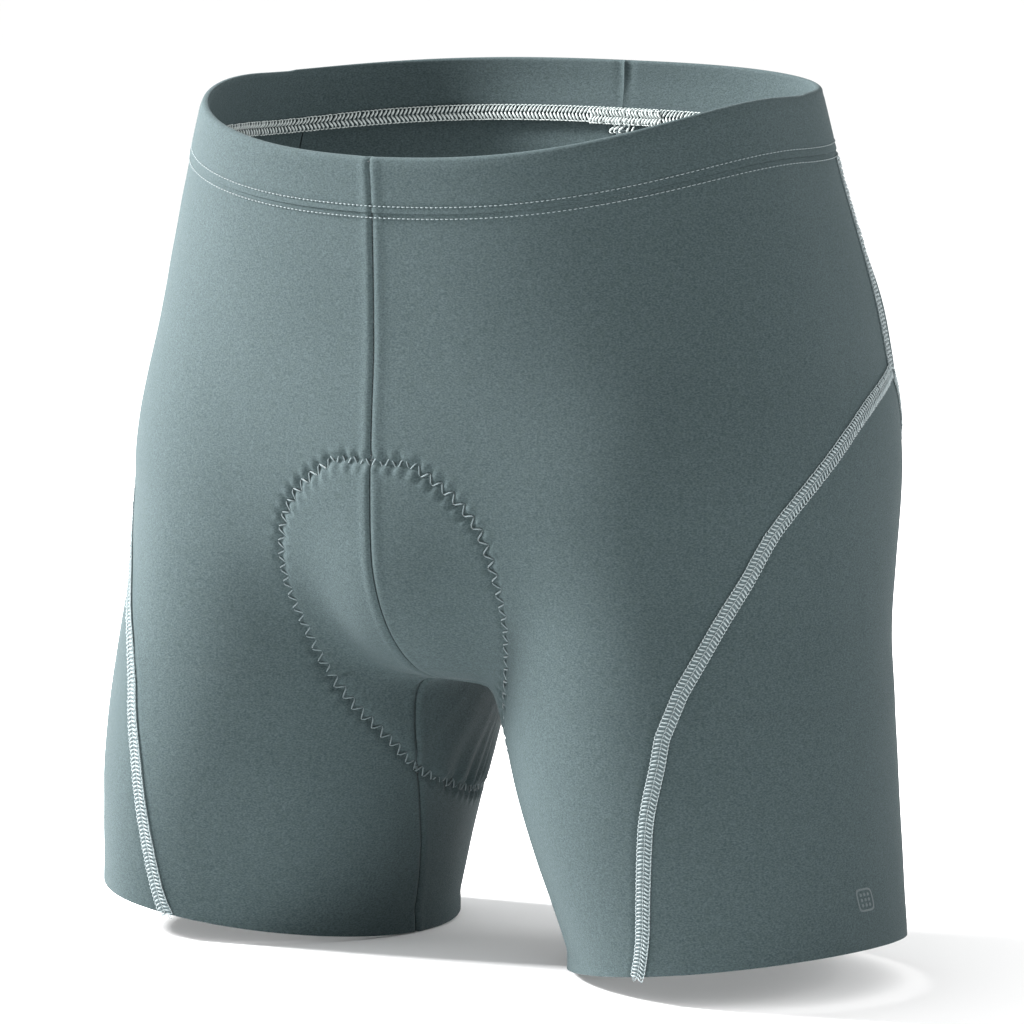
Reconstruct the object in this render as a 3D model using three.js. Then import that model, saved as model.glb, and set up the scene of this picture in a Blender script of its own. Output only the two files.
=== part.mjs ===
// Padded close-fitting shorts, standing open as if worn.
// Millimetres, +Z up, the wearer faces -Y and the wearer's left is +X.
// The cloth body is one smooth form: a torso, two thighs, a seat and a front pouch blended together.
// Every cloth piece is a thin solid laid at a named depth inside (or outside) that form.
import * as THREE from 'three';

// ---------- driving dimensions ----------
const insideLeg = 115;              // hem to crotch, on the inside of the leg
const waistAboveCrotch = 258.5;     // side of the waist, above the crotch
const waistDipFront = 23;           // drop of the rim per (100 mm forward) ^ rimCurve
const waistRiseBack = 9.5;          // rise of the rim per (100 mm backward) ^ rimCurve
const rimCurve = 2.15;
const hemSlope = 0.14;              // the hem is lower towards the inside of the leg

const fabric = 0.9;                 // knit fabric thickness
const gap = 0.3;                    // running gap between touching layers
const seamGap = 0.6;                // two panels butted edge to edge
const threadDepth = 0.7;            // thickness of a flat seam's thread layer
const flatSeamHalf = 3.3;           // half width of the flat thigh seams
const overlockWidth = 3.4;          // seam allowance each side of an inside overlock
const overlockDepth = 1.0;

const bandHeight = 26;              // waistband, rim to its lower edge
const elasticMargin = 4;            // the band is this much higher than its elastic
const elasticThickness = 1.2;
const coverThread = 1.6;            // height of one row of cover stitching
const coverUpperAboveEdge = 4;      // top of the upper row, above the band's lower edge
const coverLowerBelowEdge = 1.6;    // top of the lower row, below it
const looperHeight = 6.5;           // looped thread chain inside the band
const hemTurnup = 12;               // height of the ply turned up inside the hem

const apexAboveCrotch = 138;        // top of the side panel
const sideApexHalf = 1.6;           // half width of the side panel at its top
const hipSeamStart = 2;             // the hip seam starts this far above the side panel's top
const markSize = 12;                // small square transfer on the left leg
const markThickness = 0.3;
const markAboveHem = 24;
const markFromSide = -9.5;

const padBacking = 0.9;             // pad's base fabric
const padClearance = 3.3;           // room for the overlocks between panels and pad
const padFoam = 4;
const padFoamInset = 6;             // foam stops short of the stitched edge
const cushionRise = 7;              // height of a cushion above its own edge
const cushionEdge = 1.5;            // thickness of a cushion at its edge
const cushionInset = 9;             // from the foam's edge to a cushion
const channelHalf = 7;              // half width of the channel down the middle
const zigzagHalf = 2;               // half width of the zigzag stitch line
const zigzagInset = 4;              // its middle, in from the pad's edge
const zigzagOut = 1.3;              // its underside, off the body form

// torso: height above the crotch, half width, depth in front, depth behind
const torsoSections = [
  [3, 150, 80, 90],
  [85, 172, 104, 112],
  [155, 169, 105, 117],
  [215, 155, 108, 88],
  [257, 140, 114, 90],
];
const torsoFrontPower = 2.3;
const torsoBackPower = 2.6;
const torsoFloor = 60;              // the torso's underside starts to round off here, above the crotch
const torsoFloorDepth = 58;
// thigh: height, centre out from the middle, centre forward or back, half width, half depth
const thighSections = [
  [0, 123, 0, 74, 86],
  [insideLeg - 40, 109, -6, 84, 92],
  [insideLeg + 75, 88, 2, 90, 97],
];
const thighPower = 1.9;
const thighTurn = 0.36;             // radians, the thigh's oval turned about its own axis
const thighTop = 110;
const seat = { centre: [60.6, 45.8, insideLeg + 75.7], radii: [72, 76, 80] };
const pouch = { centre: [0, -49, insideLeg + 54], radii: [48, 50, 52] };
const blendWidth = 32;

// seams, as height and distance round the body from its outermost side line, forward being negative
const frontSeam = [
  [0, -126],
  [insideLeg - 82, -114],
  [insideLeg - 51, -97],
  [insideLeg - 19, -75],
  [insideLeg + 20, -58],
  [insideLeg + 53, -45],
  [insideLeg + 84, -33],
  [insideLeg + 111, -9],
  [insideLeg + 128, 16],
  [insideLeg + apexAboveCrotch, 47 - sideApexHalf],
];
const backSeam = [
  [0, 108],
  [insideLeg - 51, 116],
  [insideLeg - 19, 121],
  [insideLeg + 20, 123],
  [insideLeg + 53, 117],
  [insideLeg + 84, 103],
  [insideLeg + 111, 80],
  [insideLeg + 128, 60],
  [insideLeg + apexAboveCrotch, 47 + sideApexHalf],
];
const hipSeam = [
  [insideLeg + apexAboveCrotch, 47],
  [insideLeg + waistAboveCrotch, 35],
];
// pad: fan angle in degrees (0 forward, 90 down, 180 backward) and half width on the cloth
const padPivot = [0, 0, insideLeg + 100];
const padOutline = [
  [-2, 15],
  [3, 31],
  [8, 44],
  [16, 55],
  [27, 60.5],
  [38, 60.5],
  [50, 55.5],
  [60, 52],
  [70, 54],
  [80, 65],
  [91, 74],
  [103, 86],
  [116, 96],
  [131, 100],
  [148, 93],
  [166, 68],
  [176, 27],
];

const waistHeight = insideLeg + waistAboveCrotch;
const lining = fabric + gap;
const padStart = fabric + padClearance;

// ---------- curves through a few chosen values ----------
function throughPoints(x, table, column = 1) {
  const last = table.length - 1;
  const slope = (i) => {
    const a = table[Math.max(i - 1, 0)];
    const b = table[Math.min(i + 1, last)];
    return (b[column] - a[column]) / (b[0] - a[0]);
  };
  let i = 0;
  while (i < last - 1 && x > table[i + 1][0]) i += 1;
  const h = table[i + 1][0] - table[i][0];
  const t = Math.min(Math.max((x - table[i][0]) / h, 0), 1);
  const t2 = t * t;
  const t3 = t2 * t;
  return (2 * t3 - 3 * t2 + 1) * table[i][column] + (t3 - 2 * t2 + t) * h * slope(i)
    + (3 * t2 - 2 * t3) * table[i + 1][column] + (t3 - t2) * h * slope(i + 1);
}

// ---------- the body form: negative inside, positive outside ----------
function smoothUnion(a, b, width) {
  const h = Math.max(width - Math.abs(a - b), 0) / width;
  return Math.min(a, b) - h * h * h * width / 6;
}

function torsoField(x, y, z) {
  const up = z - insideLeg;
  const halfWidth = throughPoints(up, torsoSections, 1);
  const depth = throughPoints(up, torsoSections, y < 0 ? 2 : 3);
  const power = y < 0 ? torsoFrontPower : torsoBackPower;
  const below = Math.max(torsoFloor - up, 0) / torsoFloorDepth;
  const sum = (x / halfWidth) ** power + (Math.abs(y) / depth) ** power + below ** power;
  return (sum ** (1 / power) - 1) * 100;
}

function thighField(x, y, z) {
  const dx = x - throughPoints(z, thighSections, 1);
  const dy = y - throughPoints(z, thighSections, 2);
  const u = dx * Math.cos(thighTurn) + dy * Math.sin(thighTurn);
  const v = dy * Math.cos(thighTurn) - dx * Math.sin(thighTurn);
  const top = Math.max(z - thighSections[2][0], 0) / thighTop;
  const sum = Math.abs(u / throughPoints(z, thighSections, 3)) ** thighPower
    + Math.abs(v / throughPoints(z, thighSections, 4)) ** thighPower + top ** thighPower;
  return (sum ** (1 / thighPower) - 1) * 80;
}

function ballField(x, y, z, { centre, radii }) {
  const r = Math.hypot((x - centre[0]) / radii[0], (y - centre[1]) / radii[1], (z - centre[2]) / radii[2]);
  return (r - 1) * radii[1];
}

function bodyField(x, y, z) {
  const side = Math.abs(x);
  let d = smoothUnion(torsoField(side, y, z), thighField(side, y, z), blendWidth);
  d = smoothUnion(d, ballField(side, y, z, seat), blendWidth);
  return smoothUnion(d, ballField(side, y, z, pouch), blendWidth);
}

function outward(p) {
  const h = 0.05;
  return new THREE.Vector3(
    bodyField(p.x + h, p.y, p.z) - bodyField(p.x - h, p.y, p.z),
    bodyField(p.x, p.y + h, p.z) - bodyField(p.x, p.y - h, p.z),
    bodyField(p.x, p.y, p.z + h) - bodyField(p.x, p.y, p.z - h),
  ).normalize();
}

function reachSurface(from, direction, furthest = 260) {
  let near = 0;
  let far = furthest;
  if (direction.x < -1e-6) far = Math.min(far, from.x / -direction.x);
  const p = new THREE.Vector3();
  for (let i = 0; i < 40; i += 1) {
    const middle = (near + far) / 2;
    p.copy(from).addScaledVector(direction, middle);
    if (bodyField(p.x, p.y, p.z) < 0) near = middle;
    else far = middle;
  }
  return p.copy(from).addScaledVector(direction, (near + far) / 2);
}

// ---------- the crotch: the lowest point of the form between the legs ----------
function findCrotch() {
  let best = new THREE.Vector3(0, 0, 1e9);
  for (let y = -70; y <= 60; y += 0.5) {
    const p = reachSurface(new THREE.Vector3(0, y, insideLeg + 80), new THREE.Vector3(0, 0, -1), 120);
    if (p.z < best.z) best = p;
  }
  return best;
}
const crotch = findCrotch();

// ---------- girths: one line round the left leg, or round the left half of the body ----------
const raysPerGirth = 240;
const towardsWaist = (level) => {
  const t = Math.min(Math.max((level - crotch.z - 25) / (waistHeight - crotch.z - 25), 0), 1);
  return t * t * (3 - 2 * t);
};
const rimOffset = (y) => (y < 0 ? -waistDipFront : waistRiseBack) * Math.abs(y / 100) ** rimCurve;

// how far forward (-1) or back (1) the middle seam lies, at the height that the rim's dip gives it there
function middleLine(level, way) {
  const start = new THREE.Vector3(0, crotch.y, level);
  let y = 0;
  for (let i = 0; i < 3; i += 1) {
    y = reachSurface(start, new THREE.Vector3(0, way, 0)).y;
    start.z = level + towardsWaist(level) * rimOffset(y);
  }
  return y;
}

function girth(level) {
  const above = level > crotch.z;
  const shareUp = Math.min(Math.max(level / crotch.z, 0), 1);
  const rise = Math.min(Math.max((level - crotch.z) / (waistHeight - crotch.z), 0), 1);
  const thighX = throughPoints(above ? crotch.z : level, thighSections, 1);
  const axis = above
    ? new THREE.Vector3(thighX + (70 - thighX) * rise, crotch.y * (1 - Math.min(1, rise * 2)), level)
    : new THREE.Vector3(thighX, crotch.y * shareUp * shareUp * (3 - 2 * shareUp), level);
  let first = 0;
  let last = 2 * Math.PI;
  if (above) {
    first = Math.atan2(axis.y - middleLine(level, -1), axis.x);
    last = 2 * Math.PI - Math.atan2(middleLine(level, 1) - axis.y, axis.x);
  }
  const pointAt = (angle) => {
    const direction = new THREE.Vector3(-Math.cos(angle), -Math.sin(angle), 0);
    const start = axis.clone();
    let p;
    for (let i = 0; i < 3; i += 1) {
      p = reachSurface(start, direction);
      start.z = level + towardsWaist(level) * rimOffset(p.y)
        + (1 - shareUp) * hemSlope * (p.x - thighSections[0][1]);
    }
    p.z = start.z;
    return p;
  };
  const angles = [];
  const lengths = [0];
  let previous;
  for (let i = 0; i <= raysPerGirth; i += 1) {
    angles.push(first + (last - first) * i / raysPerGirth);
    const p = pointAt(angles[i]);
    if (i > 0) lengths.push(lengths[i - 1] + p.distanceTo(previous));
    previous = p;
  }
  const length = lengths[raysPerGirth];
  const side = lengths[Math.round(raysPerGirth * (Math.PI - first) / (last - first))];
  const hemNormal = new THREE.Vector3(-hemSlope, 0, 1).normalize();
  const at = (distance) => {
    let i = 0;
    while (i < raysPerGirth - 1 && lengths[i + 1] < distance) i += 1;
    const t = (distance - lengths[i]) / (lengths[i + 1] - lengths[i]);
    const p = pointAt(angles[i] + (angles[i + 1] - angles[i]) * t);
    const onMiddle = above && (distance <= 0 || distance >= length);
    if (onMiddle) p.x = 0;
    const n = outward(p);
    if (onMiddle) n.setX(0).normalize();
    if (level === 0) n.addScaledVector(hemNormal, -n.dot(hemNormal)).normalize();
    return { p, n };
  };
  return { length, side, at };
}

const girths = new Map();
function girthAt(level) {
  if (!girths.has(level)) girths.set(level, girth(level));
  return girths.get(level);
}

// ---------- thin solids from a net of surface points ----------
const mirrored = ({ p, n }) => ({
  p: new THREE.Vector3(-p.x, p.y, p.z),
  n: new THREE.Vector3(-n.x, n.y, n.z),
});

function thinSolid(net, outerDepth, innerDepth, ring = false) {
  const rows = net.length;
  const columns = net[0].length;
  const vertices = [];
  for (const side of [outerDepth, innerDepth]) {
    for (let r = 0; r < rows; r += 1) {
      for (let c = 0; c < columns; c += 1) {
        const depth = typeof side === 'function' ? side(r, c) : side;
        const { p, n } = net[r][c];
        vertices.push(p.x - n.x * depth, p.y - n.y * depth, p.z - n.z * depth);
      }
    }
  }
  const triangles = [];
  // a quad is split along its shorter diagonal, so that layers on the same net bend alike
  const spots = [...net.flat(), ...net.flat()].map(({ p }) => p);
  const quad = (a, b, c, d) => {
    const acrossFirst = spots[a].distanceTo(spots[c]) <= spots[b].distanceTo(spots[d]);
    triangles.push(...(acrossFirst ? [a, b, c, a, c, d] : [b, c, d, b, d, a]));
  };
  const id = (r, c, inner) => (inner ? rows * columns : 0) + r * columns + (c % columns);
  const lastColumn = ring ? columns : columns - 1;
  for (let r = 0; r < rows - 1; r += 1) {
    for (let c = 0; c < lastColumn; c += 1) {
      quad(id(r, c), id(r, c + 1), id(r + 1, c + 1), id(r + 1, c));
      quad(id(r, c, true), id(r + 1, c, true), id(r + 1, c + 1, true), id(r, c + 1, true));
    }
    if (!ring) {
      quad(id(r, 0), id(r + 1, 0), id(r + 1, 0, true), id(r, 0, true));
      quad(id(r + 1, lastColumn), id(r, lastColumn), id(r, lastColumn, true), id(r + 1, lastColumn, true));
    }
  }
  for (let c = 0; c < lastColumn; c += 1) {
    quad(id(0, c + 1), id(0, c), id(0, c, true), id(0, c + 1, true));
    quad(id(rows - 1, c), id(rows - 1, c + 1), id(rows - 1, c + 1, true), id(rows - 1, c, true));
  }
  const geometry = new THREE.BufferGeometry();
  geometry.setAttribute('position', new THREE.Float32BufferAttribute(vertices, 3));
  geometry.setIndex(signedVolume(vertices, triangles) < 0 ? turnedOver(triangles) : triangles);
  geometry.computeVertexNormals();
  return geometry;
}

function signedVolume(vertices, triangles) {
  const corner = (i) => new THREE.Vector3().fromArray(vertices, i * 3);
  let sum = 0;
  for (let i = 0; i < triangles.length; i += 3) {
    const a = corner(triangles[i]);
    const b = corner(triangles[i + 1]);
    sum += a.dot(b.cross(corner(triangles[i + 2])));
  }
  return sum;
}

function turnedOver(triangles) {
  const flipped = [];
  for (let i = 0; i < triangles.length; i += 3) flipped.push(triangles[i], triangles[i + 2], triangles[i + 1]);
  return flipped;
}

// ---------- finishes ----------
const finish = (color, roughness) => new THREE.MeshStandardMaterial({ color, roughness, metalness: 0 });
const knit = finish(0x5f7175, 0.85);
const thread = finish(0xa3b1b5, 0.75);
const tonalThread = finish(0x4a585b, 0.8);
const elastic = finish(0xdadcd8, 0.7);
const padFabric = finish(0x3f4a4d, 0.9);
const foam = finish(0x8e989b, 0.95);
const transfer = finish(0x39454a, 0.5);

const shorts = new THREE.Group();
function add(name, geometry, material) {
  const mesh = new THREE.Mesh(geometry, material);
  mesh.name = name;
  shorts.add(mesh);
}
const sides = ['left', 'right'];
function addPair(name, net, outerDepth, innerDepth, material, ring = false) {
  for (const side of sides) {
    const own = side === 'left' ? net : net.map((row) => row.map(mirrored));
    add(`${name}_${side}`, thinSolid(own, outerDepth, innerDepth, ring), material);
  }
}

// ---------- levels and seam positions ----------
const spread = (from, to, count, power) => (
  Array.from({ length: count }, (_, i) => from + (to - from) * (i / (count - 1)) ** power)
);
const evenly = (from, to, count) => spread(from, to, count, 1);
const closerInward = 1.3;           // columns lie closer together towards the crotch
const steadyBack = 80;              // behind the seam, columns keep their spacing where the girth shortens
const steadyLeg = 24;               // the leg's widely spaced rows end this far below the crotch
const widestRow = 35;               // rows of corners are at most this far apart on the legs and hips
const apexLevel = insideLeg + apexAboveCrotch;
const bandLevel = waistHeight - bandHeight;
const panelTop = bandLevel - seamGap;
const hipSeamTop = bandLevel - coverLowerBelowEdge - coverThread - gap;
const rowsBetween = (from, to) => evenly(from, to, Math.ceil((to - from) / widestRow) + 1);
const legLevels = [0, ...rowsBetween(hemTurnup, crotch.z - steadyLeg)];
// rows lie closest together at the crotch, where the two legs meet
const offCrotch = [-14, -8, -4, -1.5, 1, 2.5, 4.5, 8, 13, 21, 32, 46, 64];
const offApex = [-24, -11, 0];
const crotchLevels = offCrotch.map((d) => crotch.z + d);
const [hipFrom, hipTo] = [crotchLevels.at(-1), apexLevel + offApex[0]];
const hipLevels = [(hipFrom + hipTo) / 2, ...offApex.map((d) => apexLevel + d)];
const topLevels = [...rowsBetween(apexLevel + hipSeamStart, hipSeamTop), panelTop];
const belowApex = [...legLevels, ...crotchLevels, ...hipLevels];
const allLevels = [...belowApex, ...topLevels];

const fromSide = (table) => (level) => girthAt(level).side + throughPoints(level, table);
const frontSeamAt = fromSide(frontSeam);
const backSeamAt = fromSide(backSeam);
const hipSeamAt = fromSide(hipSeam);
const hasSide = (level) => level <= apexLevel;
// the stitched half width on the side panel, which narrows into the panel's top
const innerSeamHalf = (level) => Math.min(flatSeamHalf, (backSeamAt(level) - frontSeamAt(level)) / 2 - gap);

// ---------- columns: distances round a girth where every layer of cloth has its corners ----------
const half = seamGap / 2;
const row = (level, distances) => distances.map(girthAt(level).at);

function frontColumns(level) {
  const edge = hasSide(level) ? frontSeamAt(level) : hipSeamAt(level);
  return [half, ...spread(overlockWidth, edge - flatSeamHalf, 8, closerInward), edge - half];
}

function sideColumns(level) {
  const from = frontSeamAt(level);
  const to = backSeamAt(level);
  const narrow = innerSeamHalf(level);
  return [from + half, ...evenly(from + narrow, to - narrow, 8), to - half];
}

function backColumns(level) {
  const { length } = girthAt(level);
  const edge = hasSide(level) ? backSeamAt(level) : hipSeamAt(level);
  const steadyEnd = edge + flatSeamHalf + steadyBack;
  const outer = evenly(edge + flatSeamHalf, steadyEnd, 5);
  const inner = evenly(steadyEnd, length - overlockWidth, 7).slice(1);
  return [edge + half, ...outer, ...inner, length - half];
}

// ---------- front, side and back panels ----------
addPair('front_panel', allLevels.map((level) => row(level, frontColumns(level))), 0, fabric, knit);
addPair('side_panel', belowApex.map((level) => row(level, sideColumns(level))), 0, fabric, knit);
addPair('back_panel', allLevels.map((level) => row(level, backColumns(level))), 0, fabric, knit);

// ---------- flat seams outside ----------
const seamOuter = -gap - threadDepth;
const frontSeamNet = belowApex.map((level) => {
  const at = frontSeamAt(level);
  return row(level, [at - flatSeamHalf, at - half, at + half, at + innerSeamHalf(level)]);
});
addPair('front_thigh_seam', frontSeamNet, seamOuter, -gap, thread);

const backSeamNet = belowApex.filter((level) => level < apexLevel).map((level) => {
  const at = backSeamAt(level);
  return row(level, [at - innerSeamHalf(level), at - half, at + half, at + flatSeamHalf]);
});
addPair('back_thigh_seam', backSeamNet, seamOuter, -gap, thread);

const hipSeamNet = topLevels.slice(0, -1).map((level) => {
  const at = hipSeamAt(level);
  return row(level, [at - flatSeamHalf, at - half, at + half, at + flatSeamHalf]);
});
addPair('hip_seam', hipSeamNet, seamOuter, -gap, thread);

// ---------- overlocked seams inside ----------
const overlockLevels = allLevels.filter((level) => level > crotch.z + 1);
const acrossMiddle = (level, distanceIn) => {
  const { at, length } = girthAt(level);
  const edge = at(distanceIn(overlockWidth, length));
  const join = at(distanceIn(half, length));
  return [mirrored(edge), mirrored(join), join, edge];
};
const fromFront = (d) => d;
const fromBack = (d, length) => length - d;
for (const [name, measure] of [['centre_front_overlock', fromFront], ['centre_back_overlock', fromBack]]) {
  const net = overlockLevels.map((level) => acrossMiddle(level, measure));
  add(name, thinSolid(net, lining, lining + overlockDepth), tonalThread);
}
const inseamLevels = belowApex.filter((level) => level > hemTurnup && level < crotch.z - 2);
const inseamNet = inseamLevels.map((level) => {
  const { at, length } = girthAt(level);
  return [length - overlockWidth, length - half, half, overlockWidth].map(at);
});
addPair('inseam_overlock', inseamNet, lining, lining + overlockDepth, tonalThread);

// ---------- hems: the ply turned up inside each leg ----------
const legRing = (level) => row(level, [...frontColumns(level), ...sideColumns(level), ...backColumns(level)]);
const turnupNet = [0, hemTurnup].map(legRing);
addPair('hem_turnup', turnupNet, lining, lining + fabric, knit, true);

// ---------- waistband: a folded casing round an elastic ----------
const casingDepth = 2 * fabric + 2 * gap + elasticThickness;
const foldRadius = casingDepth / 2;
const foldLevel = waistHeight - foldRadius;
const halfBand = (level) => row(level, [...frontColumns(level), ...backColumns(level)]);
const wholeBand = (level) => [...halfBand(level), ...halfBand(level).reverse().map(mirrored)];
const outerPly = [bandLevel, waistHeight - bandHeight / 2, foldLevel].map(halfBand);
const foldSteps = 4;
const foldArc = evenly(0, Math.PI, foldSteps + 1).slice(1, -1);
const top = outerPly[2];
const below = outerPly[1];
const fold = foldArc.map((angle) => top.map(({ p, n }, c) => {
  const up = p.clone().sub(below[c].p).normalize();
  const turned = n.clone().multiplyScalar(Math.cos(angle)).addScaledVector(up, Math.sin(angle));
  const centre = p.clone().addScaledVector(n, -foldRadius);
  return { p: centre.addScaledVector(turned, foldRadius), n: turned };
}));
const innerPly = [...outerPly].reverse().map((points) => points.map(({ p, n }) => ({
  p: p.clone().addScaledVector(n, -casingDepth),
  n: n.clone().negate(),
})));
addPair('waistband_casing', [...outerPly, ...fold, ...innerPly], 0, fabric, knit);

const elasticTop = foldLevel - gap;
const elasticBottom = elasticTop - (bandHeight - elasticMargin);
const elasticNet = [elasticBottom, waistHeight - bandHeight / 2, elasticTop].map(wholeBand);
add('waist_elastic', thinSolid(elasticNet, lining, lining + elasticThickness, true), elastic);

for (const [name, aboveEdge] of [['upper', coverUpperAboveEdge], ['lower', -coverLowerBelowEdge]]) {
  const net = [bandLevel + aboveEdge - coverThread, bandLevel + aboveEdge].map(wholeBand);
  add(`waist_coverstitch_${name}`, thinSolid(net, seamOuter - gap, -2 * gap, true), thread);
}
const looperNet = [bandLevel - looperHeight / 3, bandLevel + 2 * looperHeight / 3].map(wholeBand);
const looperDepth = casingDepth + 2 * gap;
add('waist_looper_chain', thinSolid(looperNet, looperDepth, looperDepth + threadDepth, true), thread);

// ---------- the pad's own map: a fan of planes about a level axis, walked outwards on the cloth ----------
const padStep = 1;
function padLine(degrees, reach) {
  const angle = THREE.MathUtils.degToRad(degrees);
  const across = new THREE.Vector3(0, -Math.cos(angle), -Math.sin(angle));
  const planeNormal = new THREE.Vector3(0, -across.z, across.y);
  const start = reachSurface(new THREE.Vector3(...padPivot), across);
  const points = [start.clone()];
  const p = start.clone();
  for (let w = padStep; w <= reach + padStep; w += padStep) {
    const step = outward(p).cross(planeNormal).normalize();
    if (step.x < 0 && points.length === 1) step.negate();
    if (points.length > 1 && step.dot(p.clone().sub(points[points.length - 2])) < 0) step.negate();
    p.addScaledVector(step, padStep);
    const inPlane = outward(p);
    inPlane.addScaledVector(planeNormal, -inPlane.dot(planeNormal)).normalize();
    for (let i = 0; i < 3; i += 1) {
      const here = bodyField(p.x, p.y, p.z);
      const q = p.clone().addScaledVector(inPlane, 0.1);
      p.addScaledVector(inPlane, -here * 0.1 / (bodyField(q.x, q.y, q.z) - here));
    }
    points.push(p.clone());
  }
  return (w) => {
    const d = Math.abs(w) / padStep;
    const i = Math.min(Math.floor(d), points.length - 2);
    const here = points[i].clone().lerp(points[i + 1], d - i);
    const point = { p: here, n: outward(here) };
    if (w === 0) point.n.setX(0).normalize();
    return w < 0 ? mirrored(point) : point;
  };
}
const padLines = new Map();
function padPoint(degrees, w) {
  if (!padLines.has(degrees)) padLines.set(degrees, padLine(degrees, padReach));
  return padLines.get(degrees)(w);
}
const padHalf = (degrees) => throughPoints(degrees, padOutline);
const padReach = 1.1 * Math.max(...padOutline.map((entry) => entry[1]));
const padFans = [-2, 5, 14, 24, 33, 43, 52, 58, 66, 75, 84, 92, 99, 109, 119, 130, 141, 152, 161, 169, 176];
const padInner = 6;                 // columns from the channel to a cushion's edge
const padMiddle = padInner + 2;     // columns each side of the middle line
function padColumns(degrees) {
  const edge = padHalf(degrees);
  const outermost = Math.max(edge - padFoamInset - cushionInset, edge / 2);
  const innermost = Math.min(channelHalf, outermost / 2);
  return [...spread(innermost, outermost, padInner, closerInward), edge - padFoamInset, edge];
}
const padNet = padFans.map((degrees) => {
  const columns = padColumns(degrees);
  return [...columns.map((w) => -w).reverse(), 0, ...columns].map((w) => padPoint(degrees, w));
});
const partOfPad = (fromRow, toRow, fromColumn, toColumn) => padNet.slice(fromRow, toRow + 1)
  .map((points) => points.slice(padMiddle + fromColumn, padMiddle + toColumn + 1));

const backingDepth = padStart + padBacking;
const foamStart = backingDepth + gap;
const foamDepth = foamStart + padFoam;
const lastFan = padFans.length - 1;
add('pad_backing', thinSolid(padNet, padStart, backingDepth), padFabric);
add('pad_foam_base', thinSolid(partOfPad(1, lastFan - 1, 1 - padMiddle, padMiddle - 1), foamStart, foamDepth), foam);

// a cushion is domed: its face rises from the edge to the middle
function addCushion(name, fromFan, toFan, fromColumn, toColumn) {
  const net = partOfPad(padFans.indexOf(fromFan), padFans.indexOf(toFan), fromColumn, toColumn);
  const start = foamDepth + gap;
  const share = (i, count) => Math.sin(Math.PI * i / (count - 1));
  const dome = (r, c) => start + cushionEdge
    + cushionRise * Math.sqrt(Math.max(share(r, net.length) * share(c, net[0].length), 0));
  add(name, thinSolid(net, start, dome), foam);
}
addCushion('pad_front_cushion', 14, 52, -padInner, padInner);
addCushion('pad_centre_cushion', 58, 92, -padInner, padInner);
addCushion('pad_seat_cushion_left', 99, 161, 1, padInner);
addCushion('pad_seat_cushion_right', 99, 161, -padInner, -1);

// ---------- zigzag stitching that holds the pad to the panels ----------
const stitchTrim = 2.5;             // degrees, the stitch line's ends in from the pad's ends
const degreesPerMm = 0.5;
function stitchLoop(offset) {
  const from = padFans[0] + stitchTrim - offset * degreesPerMm;
  const to = padFans[lastFan] - stitchTrim + offset * degreesPerMm;
  const edge = (degrees) => padHalf(degrees) - zigzagInset + offset;
  const left = evenly(from, to, 26).map((degrees) => padPoint(degrees, edge(degrees)));
  const across = (degrees) => evenly(edge(degrees), -edge(degrees), 5).slice(1, -1).map((w) => padPoint(degrees, w));
  return [...left, ...across(to), ...left.map(mirrored).reverse(), ...across(from).reverse()];
}
add('pad_zigzag_stitching', thinSolid(
  [stitchLoop(-zigzagHalf), stitchLoop(zigzagHalf)], -zigzagOut - threadDepth, -zigzagOut, true,
), tonalThread);

// ---------- small plain transfer on the outside of the left leg ----------
// its place is worked out on the flat facets of the side panel, so that it lies on them
function onSidePanel(level, distance) {
  const r = belowApex.findIndex((next) => next > level) - 1;
  const up = (level - belowApex[r]) / (belowApex[r + 1] - belowApex[r]);
  const lower = sideColumns(belowApex[r]);
  const upper = sideColumns(belowApex[r + 1]);
  const columns = lower.map((d, i) => THREE.MathUtils.lerp(d, upper[i], up));
  const c = columns.findIndex((next) => next > distance) - 1;
  const along = (distance - columns[c]) / (columns[c + 1] - columns[c]);
  const [a, b] = row(belowApex[r], [lower[c], lower[c + 1]]);
  const [d, e] = row(belowApex[r + 1], [upper[c], upper[c + 1]]);
  const mix = (from, to, share) => ({ p: from.p.clone().lerp(to.p, share), n: from.n.clone().lerp(to.n, share) });
  return mix(mix(a, b, along), mix(d, e, along), up);
}
const markCentre = girthAt(markAboveHem).side + markFromSide;
const markNet = evenly(markAboveHem - markSize / 2, markAboveHem + markSize / 2, 3).map((level) => (
  evenly(markCentre - markSize / 2, markCentre + markSize / 2, 3).map((distance) => onSidePanel(level, distance))
));
add('leg_transfer_mark', thinSolid(markNet, -gap - markThickness, -gap), transfer);

// ---------- the row frame: origin under the middle of the shorts, at the lowest point of the hems ----------
shorts.updateMatrixWorld(true);
const box = new THREE.Box3().setFromObject(shorts, true);
const centre = box.getCenter(new THREE.Vector3());
shorts.position.set(0, -centre.y, -box.min.z);

export default shorts;
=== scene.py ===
# %% [markdown]
# # Padded close-fitting shorts
# A pair of stretch-knit shorts stands open, as if somebody invisible wore it. Seven kinds of thing make it
# up: knit panels, a folded waistband, flat seams, rows of machine stitching, inside overlocks, a sewn-in
# pad and a small heat-transfer mark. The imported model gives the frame: each piece made here takes the place
# of one of its nodes.
import math

import bpy
import numpy as np
from mathutils import Matrix, Vector
from mathutils.kdtree import KDTree


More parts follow.
